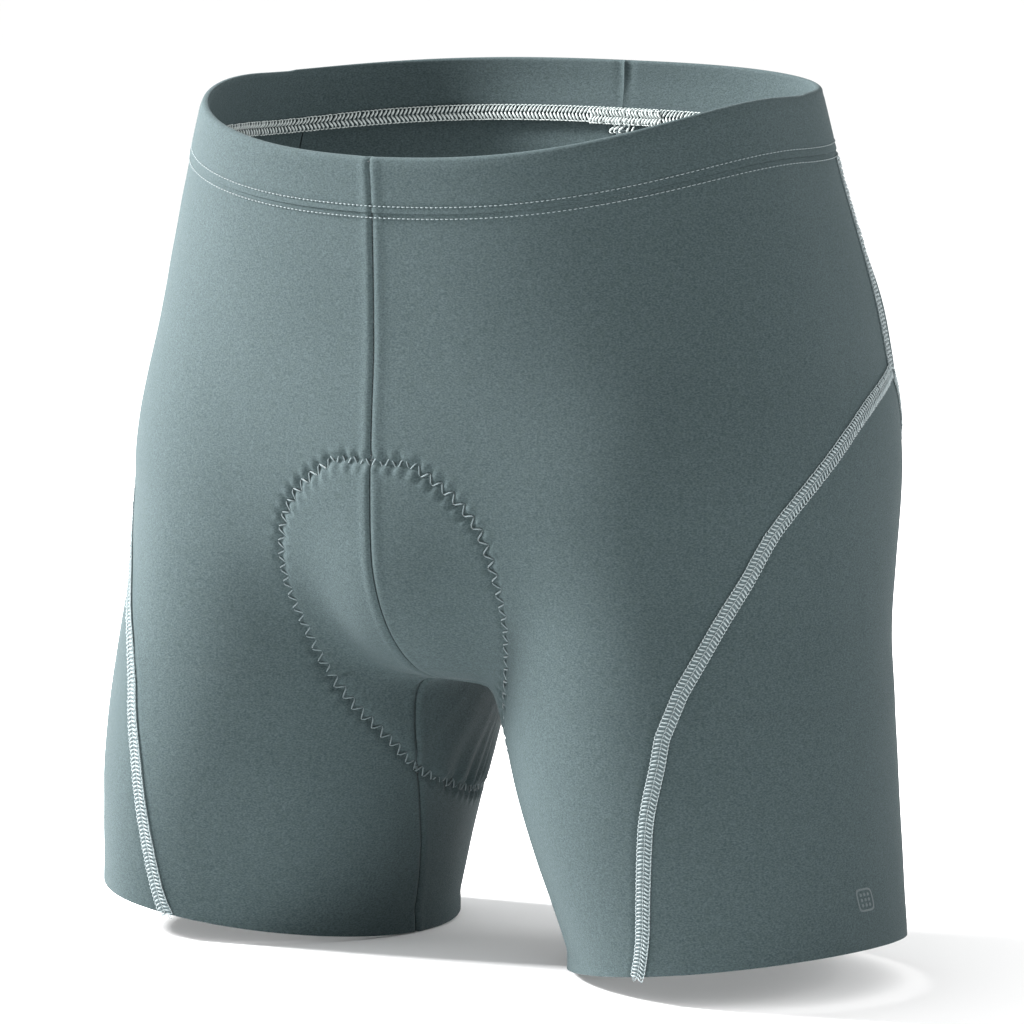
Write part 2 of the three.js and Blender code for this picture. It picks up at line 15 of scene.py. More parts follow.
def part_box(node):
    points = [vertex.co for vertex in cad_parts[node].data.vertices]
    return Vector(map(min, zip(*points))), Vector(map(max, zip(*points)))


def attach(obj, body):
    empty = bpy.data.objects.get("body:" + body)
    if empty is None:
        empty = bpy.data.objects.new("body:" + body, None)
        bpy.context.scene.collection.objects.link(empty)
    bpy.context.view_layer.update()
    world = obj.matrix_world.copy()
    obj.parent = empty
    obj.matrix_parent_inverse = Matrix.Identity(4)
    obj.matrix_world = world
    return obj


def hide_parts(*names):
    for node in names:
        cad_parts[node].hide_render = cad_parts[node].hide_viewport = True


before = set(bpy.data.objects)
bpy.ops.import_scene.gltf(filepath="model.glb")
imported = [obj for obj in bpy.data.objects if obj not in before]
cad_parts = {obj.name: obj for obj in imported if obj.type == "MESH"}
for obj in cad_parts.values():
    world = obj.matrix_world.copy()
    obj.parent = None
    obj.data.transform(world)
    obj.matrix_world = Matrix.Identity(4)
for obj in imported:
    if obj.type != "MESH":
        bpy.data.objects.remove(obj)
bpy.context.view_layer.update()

# %% [markdown]
# ## The body form
# Stretch cloth takes the shape of what is inside it, so every cloth piece is laid on one smooth form. The
# form could be sculpted, but then no seam could be placed by measure. Here it is a formula: a torso, two
# thighs, the seat and a front pouch, each a rounded solid, melted together by a smooth union. All sizes are
# millimetres until a mesh is made.

# %% Sizes of the form
inside_leg = 115.0
waist_above_crotch = 258.5
waist_dip_front, waist_rise_back, rim_curve = 23.0, 9.5, 2.15
hem_slope = 0.14
torso_sections = [  # height above the crotch, half width, depth in front, depth behind
    [3, 150, 80, 90], [85, 172, 104, 112], [155, 169, 105, 117], [215, 155, 108, 88], [257, 140, 114, 90]]
torso_powers = 2.3, 2.6
torso_floor, torso_floor_depth = 60.0, 58.0
thigh_sections = [  # height, centre out from the middle, centre fore or aft, half width, half depth
    [0, 123, 0, 74, 86], [inside_leg - 40, 109, -6, 84, 92], [inside_leg + 75, 88, 2, 90, 97]]
thigh_power, thigh_turn, thigh_top = 1.9, 0.36, 110.0
seat_ball = (60.6, 45.8, inside_leg + 75.7), (72, 76, 80)
pouch_ball = (0, -49, inside_leg + 54), (48, 50, 52)
blend_width = 32.0
waist_height = inside_leg + waist_above_crotch

# %% The form as a field: negative inside, nought on the cloth, positive outside
def through(x, table, column=1):
    """A smooth curve through the chosen values of a table."""
    t = np.asarray(table, float)
    xs, ys = t[:, 0], t[:, column]
    n = np.arange(len(xs))
    lower, upper = np.maximum(n - 1, 0), np.minimum(n + 1, len(xs) - 1)
    slope = (ys[upper] - ys[lower]) / (xs[upper] - xs[lower])
    i = np.clip(np.searchsorted(xs, x) - 1, 0, len(xs) - 2)
    h = xs[i + 1] - xs[i]
    s = np.clip((x - xs[i]) / h, 0, 1)
    return ((2 * s**3 - 3 * s**2 + 1) * ys[i] + (s**3 - 2 * s**2 + s) * h * slope[i]
            + (3 * s**2 - 2 * s**3) * ys[i + 1] + (s**3 - s**2) * h * slope[i + 1])


def melt(a, b):
    h = np.maximum(blend_width - np.abs(a - b), 0) / blend_width
    return np.minimum(a, b) - h**3 * blend_width / 6


def torso(x, y, z):
    up = z - inside_leg
    front = y < 0
    depth = np.where(front, through(up, torso_sections, 2), through(up, torso_sections, 3))
    power = np.where(front, torso_powers[0], torso_powers[1])
    below = np.maximum(torso_floor - up, 0) / torso_floor_depth
    total = (x / through(up, torso_sections))**power + (np.abs(y) / depth)**power + below**power
    return (total**(1 / power) - 1) * 100


def thigh(x, y, z):
    dx = x - through(z, thigh_sections, 1)
    dy = y - through(z, thigh_sections, 2)
    u = dx * math.cos(thigh_turn) + dy * math.sin(thigh_turn)
    v = dy * math.cos(thigh_turn) - dx * math.sin(thigh_turn)
    top = np.maximum(z - thigh_sections[2][0], 0) / thigh_top
    total = (np.abs(u / through(z, thigh_sections, 3))**thigh_power
             + np.abs(v / through(z, thigh_sections, 4))**thigh_power + top**thigh_power)
    return (total**(1 / thigh_power) - 1) * 80


def ball(p, centre, radii):
    return (np.sqrt((((p - centre) / radii)**2).sum(-1)) - 1) * radii[1]


def form(p):
    q = np.stack([np.abs(p[..., 0]), p[..., 1], p[..., 2]], -1)
    x, y, z = q[..., 0], q[..., 1], q[..., 2]
    d = melt(torso(x, y, z), thigh(x, y, z))
    d = melt(d, ball(q, *map(np.array, seat_ball)))
    return melt(d, ball(q, *map(np.array, pouch_ball)))


def unit(v):
    return v / np.maximum(np.linalg.norm(v, axis=-1, keepdims=True), 1e-12)


def outward(p, h=0.05):
    """The direction that points straight out of the cloth."""
    steps = np.eye(3) * h
    return unit(np.stack([form(p + s) - form(p - s) for s in steps], -1))


def reach(start, direction, furthest=260.0):
    """Where a ray from inside meets the cloth, found by halving."""
    far = np.full(start.shape[:-1], furthest)
    inward = direction[..., 0] < -1e-6
    cross = np.where(inward, start[..., 0] / np.where(inward, -direction[..., 0], 1), furthest)
    far = np.minimum(far, cross)
    near = np.zeros_like(far)
    for _ in range(24):
        middle = (near + far) / 2
        inside = form(start + direction * middle[..., None]) < 0
        near = np.where(inside, middle, near)
        far = np.where(inside, far, middle)
    return start + direction * ((near + far) / 2)[..., None]


ys = np.arange(-70, 60.1, 0.5)
falls = reach(np.stack([ys * 0, ys, ys * 0 + inside_leg + 80], -1), np.array([0, 0, -1.0]) + ys[:, None] * 0, 120)
crotch = falls[falls[:, 2].argmin()]
print("crotch of the form, mm:", crotch.round(2))

# %% [markdown]
# ## Girths: how a tape measure goes round
# Seams are drafted as distances round the body, so the form is measured the way a tailor does it. A girth
# is one level line round the left leg, or, above the crotch, round the left half of the body from centre
# front to centre back. Distances start at the inseam or centre front. The right half is the mirror image.

# %% Girths
rays = 360


def towards_waist(level):
    s = np.clip((level - crotch[2] - 25) / (waist_height - crotch[2] - 25), 0, 1)
    return s * s * (3 - 2 * s)


def rim_offset(y):
    return np.where(y < 0, -waist_dip_front, waist_rise_back) * np.abs(y / 100)**rim_curve


def middle_depth(level, way):
    """How far forward (-1) or back (1) the middle seam lies, at the height that the rim's dip gives it there."""
    start = np.stack([level * 0, level * 0 + crotch[1], np.maximum(level, crotch[2] + 0.5)], -1)
    for _ in range(3):
        y = reach(start, np.array([0, way, 0]) + start * 0)[:, 1]
        start[:, 2] = np.maximum(level, crotch[2] + 0.5) + towards_waist(level) * rim_offset(y)
    return y


def girths(levels):
    """Points (level, ray), their distances along the line, and the distance of the outermost side line."""
    level = np.asarray(levels, float)
    above = level > crotch[2]
    share = np.clip(level / crotch[2], 0, 1)
    rise = np.clip((level - crotch[2]) / (waist_height - crotch[2]), 0, 1)
    thigh_x = through(np.where(above, crotch[2], level), thigh_sections, 1)
    axis = np.stack([
        np.where(above, thigh_x + (70 - thigh_x) * rise, thigh_x),
        np.where(above, crotch[1] * (1 - np.minimum(1, rise * 2)), crotch[1] * share**2 * (3 - 2 * share)),
        level], -1)
    front, back = middle_depth(level, -1.0), middle_depth(level, 1.0)
    first = np.where(above, np.arctan2(axis[:, 1] - front, axis[:, 0]), 0)
    last = np.where(above, 2 * np.pi - np.arctan2(back - axis[:, 1], axis[:, 0]), 2 * np.pi)
    angle = first[:, None] + (last - first)[:, None] * np.linspace(0, 1, rays + 1)
    direction = np.stack([-np.cos(angle), -np.sin(angle), angle * 0], -1)
    start = np.repeat(axis[:, None], rays + 1, 1)
    for _ in range(3):
        p = reach(start, direction)
        start[..., 2] = (level[:, None] + towards_waist(level)[:, None] * rim_offset(p[..., 1])
                         + (1 - share)[:, None] * hem_slope * (p[..., 0] - thigh_sections[0][1]))
    p[..., 2] = start[..., 2]
    steps = np.linalg.norm(np.diff(p, axis=1), axis=-1)
    along = np.concatenate([steps[:, :1] * 0, np.cumsum(steps, 1)], 1)
    side = np.array([np.interp(np.pi, a, s) for a, s in zip(angle, along)])
    return {"level": level, "point": p, "along": along, "side": side, "length": along[:, -1]}


def points_at(girth, distance):
    """Points and outward directions at the given distances, one row of distances for each level."""
    p = np.stack([[np.interp(d, s, q[:, k]) for k in range(3)]
                  for d, s, q in zip(distance, girth["along"], girth["point"])]).transpose(0, 2, 1)
    ends = (distance <= 0) | (distance >= girth["length"][:, None])
    on_middle = (girth["level"] > crotch[2])[:, None] & ends
    p[..., 0] = np.where(on_middle, 0, p[..., 0])
    n = outward(p)
    n[..., 0] = np.where(on_middle, 0, n[..., 0])
    hem = girth["level"] == 0
    down = unit(np.array([-hem_slope, 0, 1.0]))
    n[hem] -= (n[hem] @ down)[..., None] * down
    return p, unit(n)


fabric, gap, seam_gap = 0.9, 0.3, 0.6
flat_seam_half = 3.3
band_height, fold_radius = 26.0, 1.8
apex = inside_leg + 138
front_seam = [[0, -126], [inside_leg - 82, -114], [inside_leg - 51, -97], [inside_leg - 19, -75],
              [inside_leg + 20, -58], [inside_leg + 53, -45], [inside_leg + 84, -33], [inside_leg + 111, -9],
              [inside_leg + 128, 16], [apex, 47 - 1.6]]
back_seam = [[0, 108], [inside_leg - 51, 116], [inside_leg - 19, 121], [inside_leg + 20, 123],
             [inside_leg + 53, 117], [inside_leg + 84, 103], [inside_leg + 111, 80], [inside_leg + 128, 60],
             [apex, 47 + 1.6]]
hip_seam = [[apex, 47], [waist_height, 35]]


def seam_distance(girth, table):
    return girth["side"] + through(girth["level"], table)


def front_edge(girth):
    return np.where(girth["level"] <= apex, seam_distance(girth, front_seam), seam_distance(girth, hip_seam))


def back_edge(girth):
    return np.where(girth["level"] <= apex, seam_distance(girth, back_seam), seam_distance(girth, hip_seam))


# %% [markdown]
# ## The pad's own map
# The pad is a saddle, so it is drafted on a fan of planes that all pass through one line across the hips.
# An angle of 0 degrees looks forward, 90 straight down and 180 backward. On each plane a tape runs outwards
# on the cloth from the middle line, and a place on the pad is an angle and a distance along that tape.

# %% The pad's map
pad_pivot = np.array([0, 0, inside_leg + 100])
pad_outline = [  # fan angle, half width on the cloth
    [-2, 15], [3, 31], [8, 44], [16, 55], [27, 60.5], [38, 60.5], [50, 55.5], [60, 52], [70, 54], [80, 65],
    [91, 74], [103, 86], [116, 96], [131, 100], [148, 93], [166, 68], [176, 27]]
fan = np.arange(-2, 177, 2.0)
pad_reach = 112


def pad_tapes():
    """Walks all tapes outwards together, 1 mm at a time, and keeps them on the cloth."""
    turn = np.radians(fan)
    across = np.stack([turn * 0, -np.cos(turn), -np.sin(turn)], -1)
    plane = np.stack([turn * 0, -across[:, 2], across[:, 1]], -1)
    p = reach(across * 0 + pad_pivot, across)
    tape = [p]
    for i in range(pad_reach):
        step = unit(np.cross(outward(p), plane))
        ahead = step[:, :1] if i == 0 else (step * (p - tape[-2])).sum(-1, keepdims=True)
        p = p + np.where(ahead < 0, -step, step)
        lean = outward(p)
        lean = unit(lean - (lean * plane).sum(-1, keepdims=True) * plane)
        for _ in range(2):
            here = form(p)
            p = p - lean * (here * 0.1 / (form(p + lean * 0.1) - here))[:, None]
        tape.append(p)
    return np.array(tape)


tapes = pad_tapes()


def pad_point(degrees, w):
    """Points and outward directions at a fan angle and a distance from the middle line; w < 0 is the right side."""
    degrees, w = np.broadcast_arrays(np.asarray(degrees, float), np.asarray(w, float))
    i = np.clip((degrees - fan[0]) / 2, 0, len(fan) - 1.001)
    j = np.clip(np.abs(w), 0, pad_reach - 0.001)
    a, b = i.astype(int), j.astype(int)
    u, v = (i - a)[..., None], (j - b)[..., None]
    p = ((tapes[b, a] * (1 - u) + tapes[b, a + 1] * u) * (1 - v)
         + (tapes[b + 1, a] * (1 - u) + tapes[b + 1, a + 1] * u) * v)
    p[..., 0] = np.where(w < 0, -p[..., 0], p[..., 0])
    n = outward(p)
    n[..., 0] = np.where(np.abs(w) < 1e-9, 0, n[..., 0])
    return p, unit(n)


def stitch_line(inset, step=0.5):
    """The closed line that runs round the pad, this far in from its edge."""
    degrees = np.linspace(0.5, 173.5, 900)
    edge = through(degrees, pad_outline) - inset
    left, _ = pad_point(degrees, edge)
    close = np.linspace(1, -1, 60)[1:-1]
    bottom, _ = pad_point(degrees[-1], close * edge[-1])
    top, _ = pad_point(degrees[0], -close * edge[0])
    loop = np.concatenate([left, bottom, (left * [-1, 1, 1])[::-1], top])
    loop = np.concatenate([loop, loop[:1]])
    run = np.r_[0, np.cumsum(np.linalg.norm(np.diff(loop, axis=0), axis=1))]
    at = np.linspace(0, run[-1], int(run[-1] / step) + 1)[:-1]
    return np.stack([np.interp(at, run, loop[:, k]) for k in range(3)], -1), run[-1]


zigzag_line, zigzag_length = stitch_line(3.5)
print("zigzag line round the pad, mm:", round(float(zigzag_length)))

# %% [markdown]
# ## Relief: what sewing does to the cloth
# Stitches pull cloth down and the layers under it push it up. This could be sculpted or painted as a bump,
# but then the mesh itself would be smooth. Here each effect is a short formula of the distance to a seam,
# in millimetres of rise, and every layer of the garment is moved by it before its mesh is made.

# %% Relief
zig = 6.6  # one zig and one zag, along the line


def bell(x, width):
    return np.exp(-(x / width)**2)


def distance_to(line, points):
    """For each point, the nearest place on a line: how far, and the line's index there."""
    tree = KDTree(len(line))
    for i, p in enumerate(line):
        tree.insert(p, i)
    tree.balance()
    found = [tree.find(p) for p in points.reshape(-1, 3)]
    return (np.array([f[2] for f in found]).reshape(points.shape[:-1]),
            np.array([f[1] for f in found]).reshape(points.shape[:-1]))


zigzag_along = unit(np.roll(zigzag_line, -1, 0) - np.roll(zigzag_line, 1, 0))
zigzag_out = outward(zigzag_line)
zigzag_in = unit(np.cross(zigzag_out, zigzag_along))
zigzag_in *= np.sign((zigzag_in * (pad_pivot * [1, 1, 0] + [0, 0, 90] - zigzag_line)).sum(-1).mean())


def pad_relief(p):
    """The pad fills out the cloth inside its stitching, which sinks in and puckers at every turn of the zigzag."""
    far, i = distance_to(zigzag_line, p)
    inside = np.sign(((p - zigzag_line[i]) * zigzag_in[i]).sum(-1))
    run = i * 0.5
    angle = np.degrees(np.arctan2(pad_pivot[2] - p[..., 2], -p[..., 1]))
    gather = bell(angle - 92, 15)
    rise = np.where(inside > 0, 1.3 * (1 - np.exp(-far / 6)), 0.25 * (1 - np.exp(-far / 3)) * bell(far, 16))
    rise = rise - 1.15 * bell(far, 2.0)
    pull = np.cos(2 * np.pi * run / zig + np.pi * (inside > 0))
    rise = rise + 0.62 * pull * bell(far - 2.4, 2.4) * (1 + 0.4 * np.sin(run / 17))
    fold = np.cos(2 * np.pi * run / (zig * (1 + 0.12 * np.sin(run / 31))) + 1.2 * np.sin(far / 9))
    depth = np.where(inside > 0, np.exp(-far / 15) * (1 - np.exp(-far / 1.5)), bell(far, 3.5) * 0.6)
    return rise + 1.5 * gather * fold * depth


def sewn_ridge(d, half=4.8):
    """A pressed-open allowance under the cloth, and the groove of the join at d = 0."""
    plateau = 1 / (1 + np.exp(np.clip((d - half) / 0.45, -30, 30)))
    return 0.38 * plateau - 1.0 * bell(d, 1.1)


def keel(p):
    """The two fronts meet at a slight angle, so the middle seam stands a little proud of them."""
    fade = np.clip((p[..., 2] - crotch[2] - 15) / 40, 0, 1)
    return 1.8 * np.exp(-np.abs(p[..., 0]) / 22) * (p[..., 1] < crotch[1]) * fade


def beside_flat_seam(d):
    return -0.3 * bell(d - flat_seam_half - 0.5, 0.9) + 0.12 * bell(d - flat_seam_half - 3, 2.2)


def soft_noise(p, size, seed):
    """A slow, smooth wander of the surface, from a few sine waves."""
    rng = np.random.default_rng(seed)
    total = 0
    for k in range(7):
        wave = rng.normal(size=3) / size
        total = total + np.sin(p @ wave + rng.uniform(0, 6.28))
    return total / 7


# %% [markdown]
# ## Finishes
# Each finish is a small node tree. Colours and bumps come from noise and waves at the size of real yarn,
# read from object coordinates, which are metres, or from each cloth piece's own cut pattern, a UV map in
# metres. To keep the trees readable, sums on sockets are written as Python expressions by a small class.

# %% Expressions on sockets, and a maker of nodes
class Wire:
    """An output socket. Arithmetic on it adds Math nodes to its tree."""

    def __init__(self, tree, socket):
        self.tree, self.socket = tree, socket

    def math(self, operation, a, b=0.0):
        return self.tree.node("ShaderNodeMath", {"operation": operation}, {0: a, 1: b})["Value"]

    def __add__(self, other):
        return self.math("ADD", self, other)

    def __sub__(self, other):
        return self.math("SUBTRACT", self, other)

    def __rsub__(self, other):
        return self.math("SUBTRACT", other, self)

    def __mul__(self, other):
        return self.math("MULTIPLY", self, other)

    __radd__, __rmul__ = __add__, __mul__

    def sine(self):
        return self.math("SINE", self)

    def above(self, level):
        return self.math("GREATER_THAN", self, level)


class Outputs:
    def __init__(self, tree, node):
        self.tree, self.made = tree, node

    def __getitem__(self, name):
        return Wire(self.tree, self.made.outputs[name])


class Tree:
    """Adds nodes to a shader or geometry tree: the type, its settings, then values or wires for its sockets."""

    def __init__(self, nodes, links):
        self.nodes, self.links = nodes, links

    def node(self, kind, settings=None, sockets=None):
        made = self.nodes.new(kind)
        for name, value in (settings or {}).items():
            if name == "stops":
                ramp = made.color_ramp
                while len(ramp.elements) < len(value):
                    ramp.elements.new(0.5)
                for element, (place, colour) in zip(ramp.elements, value):
                    element.position = place
                    element.color = (*colour, 1)
            else:
                setattr(made, name, value)
        for name, value in (sockets or {}).items():
            if isinstance(value, Wire):
                self.links.new(value.socket, made.inputs[name])
            else:
                made.inputs[name].default_value = value
        return Outputs(self, made)


def finish(name, **constants):
    """A new material: its tree, its principled shader and itself. Constants are set on the shader's own sockets."""
    material = bpy.data.materials.new(name)
    material.use_nodes = True
    tree = Tree(material.node_tree.nodes, material.node_tree.links)
    tree.nodes.clear()
    shader = tree.node("ShaderNodeBsdfPrincipled", {}, constants)
    tree.node("ShaderNodeOutputMaterial", {}, {"Surface": shader["BSDF"]})
    return material, tree, shader.made


def feed(tree, shader, **wires):
    for name, wire in wires.items():
        tree.links.new(wire.socket, shader.inputs[name.replace("_", " ")])


def noise(tree, vector, scale, detail=2.0):
    return tree.node("ShaderNodeTexNoise", {}, {"Vector": vector, "Scale": scale, "Detail": detail})["Fac"]


def stretched(tree, vector, scale):
    return tree.node("ShaderNodeMapping", {}, {"Vector": vector, "Scale": scale})["Vector"]


def blend(tree, share, a, b):
    made = tree.node("ShaderNodeMix", {"data_type": "RGBA"})
    tree.links.new(share.socket, made.made.inputs[0])
    for slot, colour in ((6, a), (7, b)):
        if isinstance(colour, Wire):
            tree.links.new(colour.socket, made.made.inputs[slot])
        else:
            made.made.inputs[slot].default_value = (*colour, 1)
    return Wire(tree, made.made.outputs[2])


def bump(tree, height, distance, strength=1.0):
    made = tree.node("ShaderNodeBump", {}, {"Height": height, "Distance": distance, "Strength": strength})
    return made["Normal"]


# %% [markdown]
# ### Stretch knit
# The cloth is a fine, matt jersey of two slightly different yarns, which gives a heathered grey-green.
# Close up a jersey shows columns of V-shaped loops. An image of it would tile and blur, so two waves across
# the cut pattern make the loops, and fine noise, drawn out along the rows, makes the heather.

# %% Knit
def knit_finish(name, dark, light, warm):
    material, tree, shader = finish(name, **{"Sheen Weight": 0.05, "Sheen Roughness": 0.5,
                                            "Sheen Tint": (0.75, 0.9, 0.95, 1), "Specular IOR Level": 0.12})
    place = tree.node("ShaderNodeTexCoord")["Object"]
    cut = tree.node("ShaderNodeUVMap", {"uv_map": "cut"})["UV"]
    split = tree.node("ShaderNodeSeparateXYZ", {}, {"Vector": cut})
    wale = (split["X"] * (2 * math.pi / 0.0008)).sine()
    course = (split["Y"] * (2 * math.pi / 0.00055) + wale * 1.2).sine()
    heather = noise(tree, stretched(tree, place, (1, 1, 1.7)), 1050, 3)
    clouds = noise(tree, place, 420, 2)
    slow = noise(tree, place, 9, 2)
    share = (heather - 0.5) * 2.6 + 0.5 + (slow - 0.5) * 0.25
    colour = blend(tree, tree.node("ShaderNodeClamp", {}, {"Value": share})["Result"], dark, light)
    colour = blend(tree, (clouds - 0.42) * 1.6 * 0.5, colour, warm)
    feed(tree, shader, Base_Color=colour, Roughness=0.74 + heather * 0.2,
         Normal=bump(tree, wale * course * 0.5 + heather * 1.5 + clouds, 0.00016, 0.55))
    return material


knit = knit_finish("heathered_knit", (0.0195, 0.0325, 0.0345), (0.047, 0.065, 0.069), (0.029, 0.044, 0.0405))

# %% Threads
def thread_finish(name, dark, light):
    material, tree, shader = finish(name, **{"Sheen Weight": 0.3, "Sheen Roughness": 0.4,
                                            "Specular IOR Level": 0.35})
    place = tree.node("ShaderNodeTexCoord")["Object"]
    ply = noise(tree, place, 2600, 2)
    wear = noise(tree, place, 260, 2)
    feed(tree, shader, Base_Color=blend(tree, ply * 0.7 + wear * 0.3, dark, light), Roughness=0.55 + ply * 0.3,
         Normal=bump(tree, ply, 0.00012, 0.6))
    return material


pale_thread = thread_finish("pale_thread", (0.13, 0.165, 0.172), (0.34, 0.395, 0.405))
cover_thread = thread_finish("cover_thread", (0.075, 0.1, 0.105), (0.2, 0.245, 0.255))
chain_thread = thread_finish("chain_thread", (0.26, 0.295, 0.29), (0.55, 0.6, 0.59))
tonal_thread = thread_finish("tonal_thread", (0.05, 0.075, 0.08), (0.14, 0.18, 0.19))
# nearly black: painted shade, laid as bars across the deep groove of the middle seams and inseams
groove_shade_thread = thread_finish("groove_shade_thread", (0.006, 0.01, 0.011), (0.02, 0.029, 0.031))
seam_ground = thread_finish("seam_ground", (0.05, 0.074, 0.079), (0.11, 0.148, 0.156))


# %% Pad cloth, foam, elastic and transfer film
def brushed_finish(name, dark, light, grain, rough=0.85, dimple=0.0):
    """A brushed, slightly furry face. Dimples are the small perforations of a moulded pad, dented by the bump and
    painted darker as painted shade inside each hole.
    """
    material, tree, shader = finish(name, **{"Sheen Weight": 0.5, "Sheen Roughness": 0.6,
                                            "Specular IOR Level": 0.2})
    place = tree.node("ShaderNodeTexCoord")["Object"]
    nap = noise(tree, place, grain, 3)
    slow = noise(tree, place, 40, 2)
    colour = blend(tree, nap * 0.8 + slow * 0.2, dark, light)
    height = nap
    if dimple:
        cell = tree.node("ShaderNodeTexVoronoi", {"feature": "F1"},
                         {"Vector": place, "Scale": dimple, "Randomness": 0.0})
        hole_dent_and_shade = 1 - (cell["Distance"] - 0.22).above(0.0)
        # the perforations are painted darker: painted shade inside each hole
        colour = blend(tree, hole_dent_and_shade * 0.55, colour, tuple(c * 0.35 for c in dark))
        height = nap * 0.3 - hole_dent_and_shade
    feed(tree, shader, Base_Color=colour, Roughness=rough + nap * 0.12, Normal=bump(tree, height, 0.0003, 0.7))
    return material


pad_cloth = brushed_finish("pad_microfibre", (0.03, 0.04, 0.043), (0.075, 0.092, 0.098), 1500)
foam_face = brushed_finish("foam_face", (0.16, 0.19, 0.2), (0.3, 0.335, 0.345), 900, dimple=260)
cushion_face = brushed_finish("cushion_face", (0.1, 0.125, 0.132), (0.21, 0.245, 0.255), 1100, dimple=190)


def elastic_finish():
    material, tree, shader = finish("ribbed_elastic", **{"Sheen Weight": 0.2, "Specular IOR Level": 0.3})
    place = tree.node("ShaderNodeTexCoord")["Object"]
    rib = (tree.node("ShaderNodeSeparateXYZ", {}, {"Vector": place})["Z"] * (2 * math.pi / 0.0016)).sine()
    fuzz = noise(tree, place, 1500, 2)
    feed(tree, shader, Base_Color=blend(tree, rib * 0.3 + fuzz * 0.7, (0.42, 0.43, 0.42), (0.74, 0.75, 0.73)),
         Roughness=0.6 + fuzz * 0.2, Normal=bump(tree, rib + fuzz * 0.4, 0.0003, 0.7))
    return material


def film_finish():
    material, tree, shader = finish("transfer_film", **{"Specular IOR Level": 0.5})
    place = tree.node("ShaderNodeTexCoord")["Object"]
    print_grain = noise(tree, place, 1300, 2)
    feed(tree, shader, Base_Color=blend(tree, print_grain, (0.022, 0.036, 0.04), (0.045, 0.066, 0.07)),
         Roughness=0.38 + print_grain * 0.2, Normal=bump(tree, print_grain, 0.00006, 0.5))
    return material


elastic, film = elastic_finish(), film_finish()
print("finishes:", [m.name for m in bpy.data.materials])


# %% [markdown]
# ## From a net of points to cloth
# A cloth piece starts as a net: rows are levels, columns are distances. The net is laid twice, once for
# each face, and its edges are closed, so the piece is one closed body of real thickness. A Solidify
# modifier could thicken a plane, but it can't keep two layers apart where the form turns sharply at the
# crotch.

# %% Cloth pieces from nets
front_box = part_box("front_panel_left")
hem_net, _ = points_at(girths([0.0]), np.linspace(0.3, 120, 80)[None])
wide = girths(np.linspace(120, 340, 45))
shift = np.array([0, front_box[0][1] * 1000 - wide["point"][..., 1].min(),
                  front_box[0][2] * 1000 - hem_net[..., 2].min()])
print("from the form to the packed frame, mm:", shift.round(2))


def metres(p):
    return (p + shift) / 1000


def mesh_from(name, points, faces, material, uv=None, crease=50):
    """A mesh from points in millimetres on the form and four-cornered faces, turned to face outwards."""
    a, b, c, d = (points[faces[:, k]] for k in range(4))
    volume = (a * np.cross(b, c)).sum() + (a * np.cross(c, d)).sum()
    if volume < 0:
        faces = faces[:, ::-1]
    mesh = bpy.data.meshes.new(name)
    mesh.vertices.add(len(points))
    mesh.vertices.foreach_set("co", metres(points).astype(np.float32).ravel())
    mesh.loops.add(faces.size)
    mesh.loops.foreach_set("vertex_index", faces.astype(np.int32).ravel())
    mesh.polygons.add(len(faces))
    mesh.polygons.foreach_set("loop_start", np.arange(0, faces.size, 4, dtype=np.int32))
    mesh.update(calc_edges=True)
    if uv is not None:
        mesh.uv_layers.new(name="cut").data.foreach_set("uv", uv[faces.ravel()].astype(np.float32).ravel())
    mesh.shade_smooth()
    mesh.set_sharp_from_angle(angle=math.radians(crease))
    mesh.materials.append(material)
    piece = bpy.data.objects.new(name, mesh)
    bpy.context.collection.objects.link(piece)
    return piece


def shell_faces(rows, columns, ring):
    """Faces of two nets of the same size, one behind the other, closed round their edges."""
    outer = np.arange(rows * columns).reshape(rows, columns)
    if ring:
        outer = np.concatenate([outer, outer[:, :1]], 1)
    inner = outer + rows * columns

    def quads(net):
        return np.stack([net[:-1, :-1], net[:-1, 1:], net[1:, 1:], net[1:, :-1]], -1).reshape(-1, 4)

    walls = [quads(np.stack([inner[0], outer[0]])), quads(np.stack([outer[-1], inner[-1]]))]
    if not ring:
        walls += [quads(np.stack([outer[:, 0], inner[:, 0]])), quads(np.stack([inner[:, -1], outer[:, -1]]))]
    return np.concatenate([quads(outer), quads(inner)[:, ::-1], *walls])


def shell(name, outer, inner, material, ring=False, cut=None, mirror=False, crease=50):
    points = np.concatenate([outer.reshape(-1, 3), inner.reshape(-1, 3)])
    if mirror:
        points = points * [-1, 1, 1]
    uv = None if cut is None else np.tile(cut.reshape(-1, 2), (2, 1)) / 1000
    return mesh_from(name, points, shell_faces(*outer.shape[:2], ring), material, uv, crease)


def finish_sheet(piece):
    """Attaches a stretched sheet to the root body: it was cut a little smaller than it is on the body."""
    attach(piece, "root")


# %% [markdown]
# ## Panels
# The body is six panels of knit: front, side and back, left and right. Each is cut flat and sewn into a
# tube. Their nets have a row every 2 mm and columns every 1 to 3 mm, closest beside the middle seam where
# the pad is stitched on.

# %% Panels
panel_top = waist_height - band_height - 0.05
low, high = crotch[2] - 7.5, crotch[2] + 9
levels = np.concatenate([
    np.arange(0, 58, 2.2), np.arange(58, low, 1.7), crotch[2] + np.array([-7.5, -6, -4.6, -3.4, -2.4, -1.5]),
    crotch[2] + np.array([0.8, 1.6, 2.5, 3.6, 4.9, 6.3, 7.7]), np.arange(high, 262, 1.75),
    np.linspace(262.6, panel_top, 42)])
body = girths(levels)
half = seam_gap / 2
print("levels:", len(levels), "hem girth, mm:", body["length"][0].round(1),
      "waist half:", body["length"][-1].round(1))


def spaced(start, end, near, far, close=78.0):
    """Columns from start to end: some close together near the start, the others spread over the rest."""
    turn = start + (end - start) * min(0.55, close / 230)
    return np.concatenate([np.linspace(start, turn, near, endpoint=False), np.linspace(turn, end, far)])


